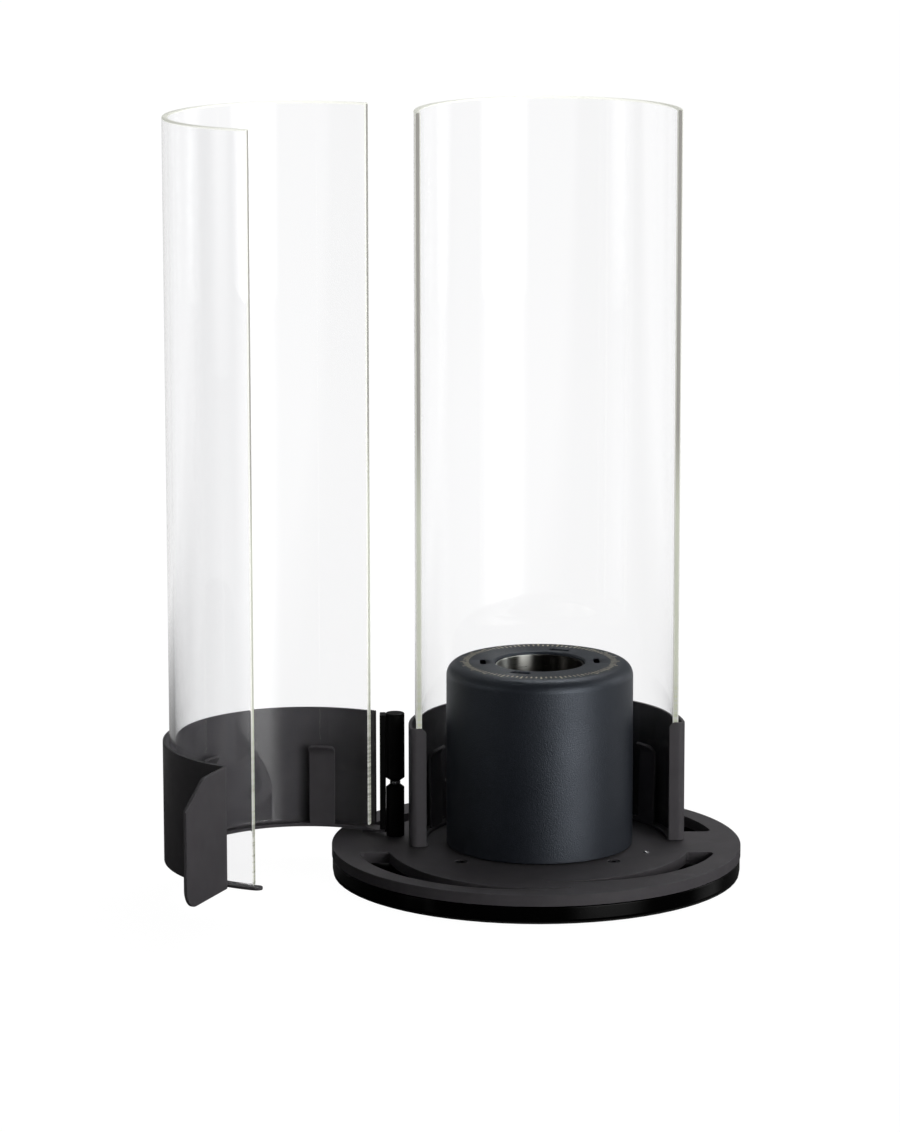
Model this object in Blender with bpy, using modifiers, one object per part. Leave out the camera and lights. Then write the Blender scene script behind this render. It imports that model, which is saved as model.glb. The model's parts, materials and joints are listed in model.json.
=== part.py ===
"""A table-top ethanol torch for the garden: a round steel base, a burner can that lifts out,
and two half-round glasses around the flame, one fixed and one on a hinged holder.

Units are metres and +Z is up. The origin is the middle of the base's underside, -Y is the front,
and the hinge is on the left. The two glasses are set off from the middle in opposite directions,
so that with the door shut their ends overlap and leave a tall air gap on each side."""

import math

import bmesh
import bpy
from mathutils import Matrix, Vector

# Base: a rubber pad, a shallow black pan and the thick slotted plate on top.
GAP = 0.0003
CUT_BEYOND = 0.0010
BASE_RADIUS = 0.0933
PAD_RADIUS = 0.0927
PAD_HEIGHT = 0.0006
PLATE_TOP = 0.0131
PLATE_THICKNESS = 0.0051
PLATE_CHAMFER = 0.0004
PAN_WALL = 0.0030
PAN_FLOOR = 0.0020
RIB_RADIUS = 0.0486
RIB_WIDTH = 0.0066

# Air slots: each one starts wide at a straight edge beside the X axis and thins out to a tip.
WEB_HALF_WIDTH = 0.0185
SLOT_CORNER = 0.0025
SLOT_WEB_CORNER = 0.0008
SLOT_STEPS = 16
SLOT_TIP_WIDTH = 0.0009
OUTER_SLOT = dict(outer=0.0832, swell=0.0016, drift=-0.0025, width=0.0138, end=math.radians(100.0))
INNER_SLOT = dict(inner=0.0706, drift=-0.0008, width=0.0120, end=math.radians(88.0))

# Screws through the plate, and the stud that the shut door rests over.
SCREW_SPACING = 0.0343
SCREW_HEAD_RADIUS = 0.0026
SCREW_SHANK_RADIUS = 0.0014
SCREW_END = 0.0040
SCREW_SUNK = 0.0002
SCREW_HEAD_DEPTH = 0.0008
SOCKET_RADIUS = 0.0013
SOCKET_DEPTH = 0.0018
STUD_PLACE = (0.0494, -0.0191)
STUD_RADIUS = 0.0013
STUD_RISE = 0.0007

# Glasses: two arcs of one tube size, set off along X from the middle.
GLASS_OFFSET = 0.00485
GLASS_RADIUS = 0.0600
GLASS_WALL = 0.0026
GLASS_HEIGHT = 0.3328
GLASS_EDGE = 0.0005

# Sheet metal that holds a glass: a wall outside it and a flange under it.
SHEET = 0.0015
STEP = 0.0001
WALL_RADIUS = 0.0630
WALL_HEIGHT = 0.0552
FLANGE_RADIUS = 0.0550
WALL_MIDDLE = WALL_RADIUS - SHEET / 2
BEND_RADIUS = 0.0022
LIP_REACH = 0.0556
LIP_CORNER = 0.0030
FIXED_START = math.radians(0.9)
FIXED_END = math.radians(190.4)
FIXED_BOTTOM = PLATE_TOP + GAP
FIXED_GLASS_INSET = math.radians(2.0)

# Spring tabs, cut from the flange and bent up inside the glass.
TAB_WIDTH = 0.0118
TAB_SHEET = 0.0013
TAB_TOP = 0.0385
TAB_CORNER = 0.0025
TAB_FOOT_RADIUS = 0.0557
TAB_FOOT_HEIGHT = 0.0004
TAB_CURVE = ((0.0003, 0.50), (0.0006, 0.87), (0.0005, 0.91), (-0.0001, 0.945), (-0.0012, 0.975), (-0.0024, 1.0))
FIXED_TABS = (math.radians(33.0), math.radians(94.0), math.radians(155.0))
DOOR_TABS = (math.radians(203.5), math.radians(264.0), math.radians(324.5))

# Door: drawn shut, then turned about the hinge to the angle where it stands open.
HINGE_X = -0.0644
HINGE_Y = 0.0120
DOOR_OPEN = math.radians(120.5)
DOOR_BOTTOM = 0.0148
DOOR_START = math.radians(180.0)
DOOR_FOLD = math.radians(358.0)
DOOR_GLASS_START = math.radians(181.0)
DOOR_GLASS_END = math.radians(370.3)
RUNNER_END = math.radians(371.3)
RUNNER_INNER = 0.0562
RUNNER_OUTER = 0.0613
HANDLE_REACH = 0.0395
HANDLE_TURN = math.radians(7.6)
HANDLE_CHAMFER_RUN = 0.0185
HANDLE_CHAMFER_DROP = 0.0110
HANDLE_CORNER = 0.0095
HANDLE_BEND = ((0.0006, 0.0007), (0.0018, 0.0011))
RUNNER_LAP = 0.03
ARM_EDGE = -0.0025

# Hinge: a post on the plate, a pin in it, and the door's capped knuckle on top.
POST_RADIUS = 0.0042
POST_TOP = 0.0376
KNUCKLE_RADIUS = 0.00435
KNUCKLE_BOTTOM = 0.0394
KNUCKLE_TOP = 0.0710
KNUCKLE_CHAMFER = 0.0014
PIN_RADIUS = 0.0016
PIN_TOP = 0.0660
BORE_RADIUS = 0.0019
NOTCH_RADIUS = 0.0024
LEAF_INSIDE = 0.0046
LEAF_THICKNESS = 0.0024
LEAF_WIDTH = 0.0070
LEAF_NEAR = -0.0030
KNUCKLE_EDGE = 0.0003
WELD_DEPTH = 0.0030
WELD_HALF_WIDTH = 0.0016
WELD_LAP = 0.0012

# Burner can: coated shell, steel cup with a neck, wool, and a base disc.
CAN_X = 0.0015
CAN_RADIUS = 0.0424
CAN_BOTTOM = PLATE_TOP + 2 * GAP
CAN_TOP = 0.0976
CAN_WALL = 0.0010
CAN_SHOULDER = 0.0068
CAN_EDGE = 0.0004
MOUTH_DEPTH = 0.0024
MOUTH_RADIUS = 0.0204
MOUTH_ROUND = 0.0010
NECK_RADIUS = 0.0201
CUP_RADIUS = 0.0388
CUP_WALL = 0.0008
CUP_SHOULDER = 0.0800
CUP_SLOPE = 0.0040
NECK_DEPTH = 0.0012
WOOL_TOP = 0.0620
KEY_SLOT_RADIUS = 0.0258
KEY_SLOT_LENGTH = 0.0100
KEY_SLOT_WIDTH = 0.0028
KEY_SLOT_ANGLES = (math.radians(2.0), math.radians(69.0), math.radians(182.0), math.radians(249.0))

for stale in list(bpy.data.objects):
    bpy.data.objects.remove(stale)

parts = bpy.data.collections.new("ethanol_torch")
cutters = bpy.data.collections.new("cutters")
bpy.context.scene.collection.children.link(parts)
bpy.context.scene.collection.children.link(cutters)


def material(name, colour, roughness, metallic=0.0, transmission=0.0):
    """One Principled material."""
    made = bpy.data.materials.new(name)
    made.use_nodes = True
    shader = made.node_tree.nodes["Principled BSDF"]
    shader.inputs["Base Color"].default_value = (*colour, 1.0)
    shader.inputs["Roughness"].default_value = roughness
    shader.inputs["Metallic"].default_value = metallic
    shader.inputs["Transmission Weight"].default_value = transmission
    return made


def polar(radius, angle, centre=(0.0, 0.0)):
    """The point at a radius and an angle around a centre in plan."""
    return (centre[0] + radius * math.cos(angle), centre[1] + radius * math.sin(angle))


def arc(radius, start, end, steps, centre=(0.0, 0.0)):
    """Points along an arc, both ends included."""
    return [polar(radius, start + (end - start) * step / steps, centre) for step in range(steps + 1)]


def rounded(points, radii, steps=4):
    """A closed outline whose corners are replaced by arcs where the radius isn't zero."""
    outline = []
    for index, radius in enumerate(radii):
        corner = Vector(points[index])
        if not radius:
            outline.append(tuple(corner))
            continue
        before = (Vector(points[index - 1]) - corner).normalized()
        after = (Vector(points[(index + 1) % len(points)]) - corner).normalized()
        half = before.angle(after) / 2
        middle = corner + (before + after).normalized() * radius / math.sin(half)
        first = corner + before * radius / math.tan(half) - middle
        last = corner + after * radius / math.tan(half) - middle
        turn = first.angle_signed(last)
        for step in range(steps + 1):
            spoke = Matrix.Rotation(-turn * step / steps, 2) @ first
            outline.append(tuple(middle + spoke))
    return outline


def finish(mesh, sharp=math.radians(40.0)):
    """Shade a mesh smooth, with its real corners kept sharp."""
    mesh.shade_smooth()
    mesh.set_sharp_from_angle(angle=sharp)


def add(name, data, look=None):
    """Link a new object, as a part when it has a material and as a cutter when it has none."""
    thing = bpy.data.objects.new(name, data)
    if look is None:
        cutters.objects.link(thing)
        thing.hide_render = True
        thing.display_type = 'WIRE'
    else:
        parts.objects.link(thing)
        data.materials.clear()
        data.materials.append(look)
    return thing


def turned(name, profile, look=None, steps=64, closed=False):
    """A solid turned about Z. A closed profile is a ring, an open one starts and ends on the axis."""
    mesh = bpy.data.meshes.new(name)
    work = bmesh.new()
    corners = [work.verts.new((radius, 0.0, height)) for radius, height in profile]
    for first, second in zip(corners, corners[1:]):
        work.edges.new((first, second))
    if closed:
        work.edges.new((corners[-1], corners[0]))
    work.to_mesh(mesh)
    work.free()
    thing = add(name, mesh, look)
    screw = thing.modifiers.new("turn", 'SCREW')
    screw.steps = steps
    screw.render_steps = steps
    screw.use_merge_vertices = True
    screw.merge_threshold = 0.00001
    screw.use_smooth_shade = True
    return thing


def rod(name, radius, bottom, top, place=(0.0, 0.0), look=None, sides=32):
    """An upright cylinder between two heights."""
    mesh = bpy.data.meshes.new(name)
    work = bmesh.new()
    height = top - bottom
    bmesh.ops.create_cone(work, cap_ends=True, segments=sides, radius1=radius, radius2=radius, depth=height)
    bmesh.ops.translate(work, verts=work.verts, vec=(place[0], place[1], bottom + height / 2))
    work.to_mesh(mesh)
    work.free()
    finish(mesh)
    return add(name, mesh, look)


def box(name, low, high, look=None):
    """A box between two corners."""
    mesh = bpy.data.meshes.new(name)
    work = bmesh.new()
    bmesh.ops.create_cube(work, size=1.0)
    size = Vector(high) - Vector(low)
    bmesh.ops.scale(work, verts=work.verts, vec=size)
    bmesh.ops.translate(work, verts=work.verts, vec=Vector(low) + size / 2)
    work.to_mesh(mesh)
    work.free()
    return add(name, mesh, look)


def from_curve(name, points, bottom, top, filled):
    """The mesh of a flat path raised between two heights, filled or as an open ribbon."""
    curve = bpy.data.curves.new(name, 'CURVE')
    curve.dimensions = '2D'
    curve.fill_mode = 'BOTH' if filled else 'NONE'
    curve.extrude = (top - bottom) / 2
    spline = curve.splines.new('POLY')
    spline.points.add(len(points) - 1)
    for point, (across, along) in zip(spline.points, points):
        point.co = (across, along, 0.0, 1.0)
    spline.use_cyclic_u = filled
    guide = add(name + "_path", curve)
    bpy.context.view_layer.update()
    seen = guide.evaluated_get(bpy.context.evaluated_depsgraph_get())
    mesh = bpy.data.meshes.new_from_object(seen)
    mesh.name = name
    bpy.data.objects.remove(guide)
    work = bmesh.new()
    work.from_mesh(mesh)
    bmesh.ops.remove_doubles(work, verts=work.verts, dist=0.000001)
    bmesh.ops.translate(work, verts=work.verts, vec=(0.0, 0.0, (bottom + top) / 2))
    work.to_mesh(mesh)
    work.free()
    finish(mesh)
    return mesh


def plate(name, outline, bottom, top, look=None):
    """A flat outline with a thickness."""
    return add(name, from_curve(name, outline, bottom, top, True), look)


def bent_sheet(name, path, bottom, top, thickness, look=None):
    """Sheet metal or glass that follows a path in plan and stands upright."""
    thing = add(name, from_curve(name, path, bottom, top, False), look)
    shell = thing.modifiers.new("sheet", 'SOLIDIFY')
    shell.thickness = thickness
    shell.offset = 0.0
    shell.use_even_offset = True
    return thing


def combine(thing, other, operation):
    """Join another solid to a part, or cut it away."""
    change = thing.modifiers.new(operation.lower(), 'BOOLEAN')
    change.operation = operation
    change.object = other
    change.solver = 'EXACT'


def baked(thing, name):
    """The mesh of an object with its modifiers applied, and the object removed."""
    bpy.context.view_layer.update()
    seen = thing.evaluated_get(bpy.context.evaluated_depsgraph_get())
    mesh = bpy.data.meshes.new_from_object(seen)
    mesh.name = name
    bpy.data.objects.remove(thing)
    return mesh


def upright(thing, angle, centre):
    """Stand a piece drawn flat on end: its X points outward from the centre and its Y up."""
    turn = Matrix.Rotation(angle, 4, 'Z') @ Matrix.Rotation(math.pi / 2, 4, 'X')
    thing.matrix_world = Matrix.Translation((centre[0], centre[1], 0.0)) @ turn


# Looks.
anthracite = material("anthracite_coat", (0.040, 0.038, 0.039), 0.55, 0.2)
gloss_black = material("gloss_black", (0.004, 0.004, 0.004), 0.12)
rubber = material("black_rubber", (0.010, 0.010, 0.010), 0.80)
hinge_black = material("hinge_black", (0.018, 0.018, 0.019), 0.50, 0.3)
slate = material("slate_coat", (0.018, 0.022, 0.030), 0.50, 0.2)
steel = material("stainless_steel", (0.560, 0.550, 0.530), 0.28, 1.0)
dark_steel = material("blackened_screw", (0.030, 0.030, 0.032), 0.40, 1.0)
zinc = material("zinc_steel", (0.620, 0.620, 0.620), 0.30, 1.0)
glass = material("clear_glass", (0.950, 0.975, 0.970), 0.02, 0.0, 1.0)
wool = material("ceramic_wool", (0.620, 0.600, 0.560), 0.95)

FIXED_CENTRE = (GLASS_OFFSET, 0.0)
DOOR_CENTRE = (-GLASS_OFFSET, 0.0)


def slot_edge(shape, outside):
    """One long side of an air slot. The width falls off from the web to the tip."""
    outer_start = shape["outer"] if "outer" in shape else shape["inner"] + shape["width"]
    start = math.asin(WEB_HALF_WIDTH / (outer_start if outside else outer_start - shape["width"]))
    points = []
    for step in range(SLOT_STEPS + 1):
        way = step / SLOT_STEPS
        width = shape["width"] * (1 - way ** 2) ** 2 + SLOT_TIP_WIDTH * way
        if "outer" in shape:
            swell = shape["swell"] * math.sin(math.pi * way)
            far = shape["outer"] + swell + shape["drift"] * way ** 3
            near = far - width
        else:
            near = shape["inner"] + shape["drift"] * way ** 3
            far = near + width
        points.append(polar(far if outside else near, start + (shape["end"] - start) * way))
    return points


def slot_outline(turn, mirror, shape):
    """One air slot, turned and mirrored to its place. Its end beside the web is straight."""
    inside = slot_edge(shape, False)
    outside = slot_edge(shape, True)
    ends = inside[:1] + outside[:2] + inside[1:2]
    wide_end = rounded(ends, (SLOT_WEB_CORNER, SLOT_CORNER, 0.0, 0.0))[:-2]
    outline = wide_end + outside[1:] + inside[:0:-1]
    spin = Matrix.Rotation(turn, 2)
    return [tuple(spin @ Vector((across, along * mirror))) for across, along in outline]


def make_base():
    """The pad, the pan and the slotted plate."""
    rod("anti_slip_pad", PAD_RADIUS, 0.0, PAD_HEIGHT, look=rubber, sides=72)

    floor = PAD_HEIGHT + GAP
    rim = PLATE_TOP - PLATE_THICKNESS - GAP
    rib_in = RIB_RADIUS - RIB_WIDTH / 2
    rib_out = RIB_RADIUS + RIB_WIDTH / 2
    outside = BASE_RADIUS - GAP
    pan_profile = [
        (0.0, floor + PAN_FLOOR),
        (rib_in, floor + PAN_FLOOR),
        (rib_in, rim),
        (rib_out, rim),
        (rib_out, floor + PAN_FLOOR),
        (outside - PAN_WALL, floor + PAN_FLOOR),
        (outside - PAN_WALL, rim),
        (outside, rim),
        (outside, floor + PLATE_CHAMFER),
        (outside - PLATE_CHAMFER, floor),
        (0.0, floor),
    ]
    pan = turned("base_pan", pan_profile, gloss_black, steps=72)

    bottom = PLATE_TOP - PLATE_THICKNESS
    plate_profile = [
        (0.0, PLATE_TOP),
        (BASE_RADIUS - PLATE_CHAMFER, PLATE_TOP),
        (BASE_RADIUS, PLATE_TOP - PLATE_CHAMFER),
        (BASE_RADIUS, bottom + PLATE_CHAMFER),
        (BASE_RADIUS - PLATE_CHAMFER, bottom),
        (0.0, bottom),
    ]
    top = turned("base_plate", plate_profile, anthracite, steps=96)
    for index, (turn, mirror, shape) in enumerate((
        (math.pi, 1, OUTER_SLOT),
        (0.0, -1, INNER_SLOT),
        (0.0, 1, OUTER_SLOT),
        (math.pi, -1, INNER_SLOT),
    )):
        outline = slot_outline(turn, mirror, shape)
        cutter = plate(f"slot_cutter_{index}", outline, bottom - CUT_BEYOND, PLATE_TOP + CUT_BEYOND)
        combine(top, cutter, 'DIFFERENCE')
    return top, pan


def screw_profile(clearance):
    """The turned outline of a countersunk screw, or of its hole with a clearance."""
    head = SCREW_HEAD_RADIUS + clearance
    shank = SCREW_SHANK_RADIUS + clearance
    top = PLATE_TOP - SCREW_SUNK + clearance * 2
    rim = PLATE_TOP - SCREW_HEAD_DEPTH
    return [
        (0.0, top),
        (head, top),
        (head, rim),
        (shank, rim - head + shank),
        (shank, SCREW_END - clearance),
        (0.0, SCREW_END - clearance),
    ]


def make_screws(top, pan):
    """Four countersunk socket screws that hold the plate to the pan, and the door stud."""
    socket = rod("socket_cutter", SOCKET_RADIUS, PLATE_TOP - SOCKET_DEPTH, PLATE_TOP + CUT_BEYOND, sides=6)
    model = turned("screw_model", screw_profile(0.0), steps=20)
    combine(model, socket, 'DIFFERENCE')
    mesh = baked(model, "plate_screw")
    finish(mesh)
    hole = turned("screw_hole", screw_profile(GAP), steps=20)
    hole_mesh = baked(hole, "screw_hole")
    for index, (side, end) in enumerate(((-1, -1), (1, -1), (1, 1), (-1, 1)), start=1):
        place = (side * SCREW_SPACING, end * SCREW_SPACING, 0.0)
        screw = add(f"plate_screw_{index}", mesh, dark_steel)
        screw.location = place
        cutter = add(f"screw_hole_{index}", hole_mesh)
        cutter.location = place
        combine(top, cutter, 'DIFFERENCE')
        combine(pan, cutter, 'DIFFERENCE')

    stud_bottom = PLATE_TOP - PLATE_THICKNESS + GAP
    profile = [(0.0, PLATE_TOP + STUD_RISE)]
    for degrees in (60.0, 30.0, 0.0):
        angle = math.radians(degrees)
        profile.append((STUD_RADIUS * math.cos(angle), PLATE_TOP + STUD_RISE * math.sin(angle)))
    profile += [(STUD_RADIUS, stud_bottom), (0.0, stud_bottom)]
    stud = turned("door_stud", profile, zinc, steps=16)
    stud.location = (*STUD_PLACE, 0.0)
    cutter = rod("stud_hole", STUD_RADIUS + GAP, 0.0, PLATE_TOP + CUT_BEYOND, STUD_PLACE, sides=16)
    combine(top, cutter, 'DIFFERENCE')


def tab_mesh():
    """A spring tab drawn flat: it leans out toward the glass and curls in at the top."""
    path = [(TAB_FOOT_RADIUS, TAB_FOOT_HEIGHT)]
    path += [(TAB_FOOT_RADIUS + out, TAB_TOP * height) for out, height in TAB_CURVE]
    tab = bent_sheet("tab_model", path, -TAB_WIDTH / 2, TAB_WIDTH / 2, TAB_SHEET)
    for index, side in enumerate((-1, 1)):
        corner = corner_cutter(f"tab_corner_{index}", TAB_CORNER)
        spin = Matrix.Rotation(-math.pi / 2, 4, 'Y') @ Matrix.Diagonal((side, 1.0, 1.0, 1.0))
        place = Matrix.Translation((TAB_FOOT_RADIUS, TAB_TOP + TAB_SHEET / 2, 0.0))
        shift = Matrix.Translation((0.0, 0.0, side * TAB_WIDTH / 2))
        corner.matrix_world = place @ shift @ spin
        combine(tab, corner, 'DIFFERENCE')
    mesh = baked(tab, "spring_tab")
    for index in range(2):
        bpy.data.objects.remove(bpy.data.objects[f"tab_corner_{index}"])
    return mesh


def corner_cutter(name, radius, reach=0.0012, depth=0.02):
    """What is cut off a square corner at the origin, with the sheet on its -X -Y side, to round it."""
    curve = arc(radius, math.pi / 2, 0.0, 6, (-radius, -radius))
    outline = [(-radius, reach), *curve, (reach, -radius), (reach, reach)]
    return plate(name, outline, -depth / 2, depth / 2)


def glass_holder(name, path, bottom, flange, tabs, centre):
    """A wall that follows a path, with its flange and its spring tabs joined on."""
    holder = bent_sheet(name, path, bottom, bottom + WALL_HEIGHT, SHEET, anthracite)
    combine(holder, plate(name + "_flange", flange, bottom + STEP, bottom + STEP + SHEET), 'UNION')
    mesh = tab_mesh()
    for index, angle in enumerate(tabs):
        tab = add(f"{name}_tab_{index}", mesh)
        upright(tab, angle, centre)
        tab.matrix_world = Matrix.Translation((0.0, 0.0, bottom)) @ tab.matrix_world
        combine(holder, tab, 'UNION')
    return holder


def fixed_path():
    """The fixed holder's wall in plan: an arc whose two ends fold inward over the glass's ends."""
    trim = (BEND_RADIUS + SHEET / 2) / WALL_MIDDLE
    path = []
    for end, away in ((FIXED_START, 1), (FIXED_END, -1)):
        edge = end + away * SHEET / 2 / WALL_MIDDLE
        lip = polar(LIP_REACH, edge, FIXED_CENTRE)
        start = edge + away * trim
        bend_angle = edge + away * BEND_RADIUS / WALL_MIDDLE
        bend_centre = polar(WALL_MIDDLE - BEND_RADIUS, bend_angle, FIXED_CENTRE)
        bend = []
        for step in range(5):
            turn = edge - away * math.pi / 2 + away * math.pi / 2 * step / 4
            bend.append(polar(BEND_RADIUS, turn, bend_centre))
        path.append(([lip, *bend], start))
    (first, arc_start), (last, arc_end) = path
    wall = arc(WALL_MIDDLE, arc_start, arc_end, 48, FIXED_CENTRE)
    return first + wall + last[::-1]


def flange_outline(outer, start, end, centre):
    """The flat band that runs under the glass."""
    return arc(outer, start, end, 48, centre) + arc(FLANGE_RADIUS, end, start, 48, centre)


def make_fixed_side():
    """The fixed holder with its folded ends, and its glass."""
    inset = SHEET / 2 / WALL_MIDDLE
    flange = flange_outline(WALL_MIDDLE, FIXED_START + inset, FIXED_END - inset, FIXED_CENTRE)
    holder = glass_holder("fixed_bracket", fixed_path(), FIXED_BOTTOM, flange, FIXED_TABS, FIXED_CENTRE)
    for index, angle in enumerate((FIXED_START, FIXED_END)):
        corner = corner_cutter(f"lip_corner_{index}", LIP_CORNER, depth=0.012)
        upright(corner, angle + math.pi, FIXED_CENTRE)
        tip = Matrix.Translation((*polar(LIP_REACH, angle), FIXED_BOTTOM + WALL_HEIGHT))
        corner.matrix_world = tip @ corner.matrix_world
        combine(holder, corner, 'DIFFERENCE')

    bottom = FIXED_BOTTOM + STEP + SHEET + GAP
    make_glass("fixed_glass", FIXED_START + FIXED_GLASS_INSET, FIXED_END - FIXED_GLASS_INSET,
               FIXED_CENTRE, bottom)


def make_glass(name, start, end, centre, bottom):
    """One arc of the glass tube, with its edges melted round."""
    path = arc(GLASS_RADIUS - GLASS_WALL / 2, start, end, 48, centre)
    shell = bent_sheet(name, path, bottom, bottom + GLASS_HEIGHT, GLASS_WALL, glass)
    edge = shell.modifiers.new("edge", 'BEVEL')
    edge.width = GLASS_EDGE
    edge.segments = 1
    edge.limit_method = 'ANGLE'
    edge.angle_limit = math.radians(60.0)
    return shell


def door_path():
    """The door wall in plan: an arc from the hinge side, then the handle folded outward."""
    wall = arc(WALL_MIDDLE, DOOR_START, DOOR_FOLD, 44, DOOR_CENTRE)
    fold = Vector(wall[-1])
    bend = [fold + Vector(offset) for offset in HANDLE_BEND]
    end = bend[-1] + Vector(polar(HANDLE_REACH, HANDLE_TURN))
    return wall + [tuple(point) for point in (*bend, end)]


def runner_outline():
    """The narrow runner under the glass's free end, with a round nose."""
    outside = arc(RUNNER_OUTER, DOOR_FOLD - RUNNER_LAP, RUNNER_END, 8, DOOR_CENTRE)
    inside = arc(RUNNER_INNER, RUNNER_END, DOOR_FOLD - RUNNER_LAP, 8, DOOR_CENTRE)
    nose_centre = polar((RUNNER_INNER + RUNNER_OUTER) / 2, RUNNER_END, DOOR_CENTRE)
    half_width = (RUNNER_OUTER - RUNNER_INNER) / 2
    nose = arc(half_width, RUNNER_END, RUNNER_END + math.pi, 6, nose_centre)
    return outside + nose[1:-1] + inside


def arm_outline():
    """The flat arm that joins the holder's flange to the hinge leaf, around the hinge post."""
    outer = LEAF_INSIDE + LEAF_THICKNESS
    far = LEAF_NEAR + LEAF_WIDTH
    turn = Matrix.Rotation(DOOR_OPEN, 2)
    hinge = Vector((HINGE_X, HINGE_Y))
    leaf = [(-LEAF_INSIDE, far), (-LEAF_INSIDE, LEAF_NEAR), (-outer, LEAF_NEAR)]
    outline = [tuple(hinge + turn @ Vector(corner)) for corner in leaf]
    lip = DOOR_CENTRE[0] - FLANGE_RADIUS - GAP
    wall = DOOR_CENTRE[0] - WALL_MIDDLE
    return outline + [(lip, ARM_EDGE), (wall, ARM_EDGE)]


def handle_cutters():
    """The handle's slanted top corner and its rounded bottom corner."""
    start = door_path()[-2]
    top = DOOR_BOTTOM + WALL_HEIGHT
    run = HANDLE_REACH - HANDLE_CHAMFER_RUN
    slope = HANDLE_CHAMFER_DROP / HANDLE_CHAMFER_RUN
    beyond = HANDLE_REACH + HANDLE_CORNER
    outline = [
        (run - CUT_BEYOND, top + CUT_BEYOND * slope),
        (beyond, top - (beyond - run) * slope),
        (beyond, top + HANDLE_CORNER),
        (run - CUT_BEYOND, top + HANDLE_CORNER),
    ]
    wedge = plate("handle_chamfer", outline, -HANDLE_CORNER / 2, HANDLE_CORNER / 2)
    upright(wedge, HANDLE_TURN, start)
    corner = corner_cutter("handle_corner", HANDLE_CORNER, depth=HANDLE_CORNER)
    upright(corner, HANDLE_TURN, start)
    foot = Matrix.Translation((HANDLE_REACH, DOOR_BOTTOM, 0.0)) @ Matrix.Diagonal((1.0, -1.0, 1.0, 1.0))
    corner.data.transform(foot)
    corner.data.flip_normals()
    return wedge, corner


def make_door_bracket():
    """The door's holder, with the runner, the hinge arm and the handle's cut corners."""
    flange = flange_outline(WALL_MIDDLE, DOOR_START, DOOR_FOLD, DOOR_CENTRE)
    holder = glass_holder("door_bracket", door_path(), DOOR_BOTTOM, flange, DOOR_TABS, DOOR_CENTRE)
    top = DOOR_BOTTOM + SHEET
    combine(holder, plate("door_runner", runner_outline(), DOOR_BOTTOM + 2 * STEP, top), 'UNION')
    combine(holder, plate("door_arm", arm_outline(), DOOR_BOTTOM + 3 * STEP, top), 'UNION')
    for cutter in handle_cutters():
        combine(holder, cutter, 'DIFFERENCE')
    return holder


def make_knuckle():
    """The door's knuckle, capped at the top, with the leaf that runs down beside the post."""
    profile = [
        (0.0, KNUCKLE_TOP),
        (KNUCKLE_RADIUS - KNUCKLE_EDGE, KNUCKLE_TOP),
        (KNUCKLE_RADIUS, KNUCKLE_TOP - KNUCKLE_EDGE),
        (KNUCKLE_RADIUS, KNUCKLE_BOTTOM + KNUCKLE_CHAMFER),
        (NOTCH_RADIUS, KNUCKLE_BOTTOM),
        (BORE_RADIUS, KNUCKLE_BOTTOM),
        (BORE_RADIUS, PIN_TOP + GAP),
        (0.0, PIN_TOP + GAP),
    ]
    knuckle = turned("hinge_knuckle", profile, hinge_black, steps=32)
    outer = LEAF_INSIDE + LEAF_THICKNESS
    bottom = DOOR_BOTTOM + STEP + SHEET + GAP
    leaf = box(
        "leaf",
        (-outer, LEAF_NEAR, bottom),
        (-LEAF_INSIDE, LEAF_NEAR + LEAF_WIDTH, KNUCKLE_TOP - KNUCKLE_EDGE - STEP),
    )
    weld = box(
        "weld",
        (-LEAF_INSIDE - LEAF_THICKNESS / 4, -WELD_HALF_WIDTH, KNUCKLE_BOTTOM + WELD_DEPTH),
        (-KNUCKLE_RADIUS + WELD_LAP, WELD_HALF_WIDTH, KNUCKLE_TOP - WELD_DEPTH),
    )
    hinge = Matrix.Translation((HINGE_X, HINGE_Y, 0.0))
    knuckle.matrix_world = hinge
    for piece in (leaf, weld):
        piece.matrix_world = hinge @ Matrix.Rotation(DOOR_OPEN, 4, 'Z')
        combine(knuckle, piece, 'UNION')
    return knuckle


def make_door(axis):
    """Everything that swings, with the shapes it is cut and joined with: all ride the axis."""
    holder = make_door_bracket()
    knuckle = make_knuckle()
    bottom = DOOR_BOTTOM + STEP + SHEET + GAP
    pane = make_glass("door_glass", DOOR_GLASS_START, DOOR_GLASS_END, DOOR_CENTRE, bottom)
    riders = [holder, knuckle, pane]
    for piece in (holder, knuckle):
        riders += [change.object for change in piece.modifiers if change.type == 'BOOLEAN']
    from_hinge = Matrix.Translation((-HINGE_X, -HINGE_Y, 0.0))
    for piece in riders:
        place = axis.matrix_world @ from_hinge @ piece.matrix_world
        piece.parent = axis
        piece.matrix_world = place


def make_hinge_post():
    """The post that stands on the plate, the pin in it and the washer between the knuckles."""
    place = (HINGE_X, HINGE_Y, 0.0)
    bottom = PLATE_TOP + GAP
    profile = [
        (BORE_RADIUS, POST_TOP),
        (NOTCH_RADIUS, POST_TOP),
        (POST_RADIUS, POST_TOP - KNUCKLE_CHAMFER),
        (POST_RADIUS, bottom),
        (BORE_RADIUS, bottom),
    ]
    post = turned("hinge_post", profile, hinge_black, steps=32, closed=True)
    post.location = place
    rod("hinge_pin", PIN_RADIUS, bottom, PIN_TOP, place, zinc, 24)
    low = POST_TOP + GAP
    high = KNUCKLE_BOTTOM - GAP
    ring = [(BORE_RADIUS, high), (NOTCH_RADIUS, high), (NOTCH_RADIUS, low), (BORE_RADIUS, low)]
    washer = turned("hinge_washer", ring, zinc, steps=24, closed=True)
    washer.location = place


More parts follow.
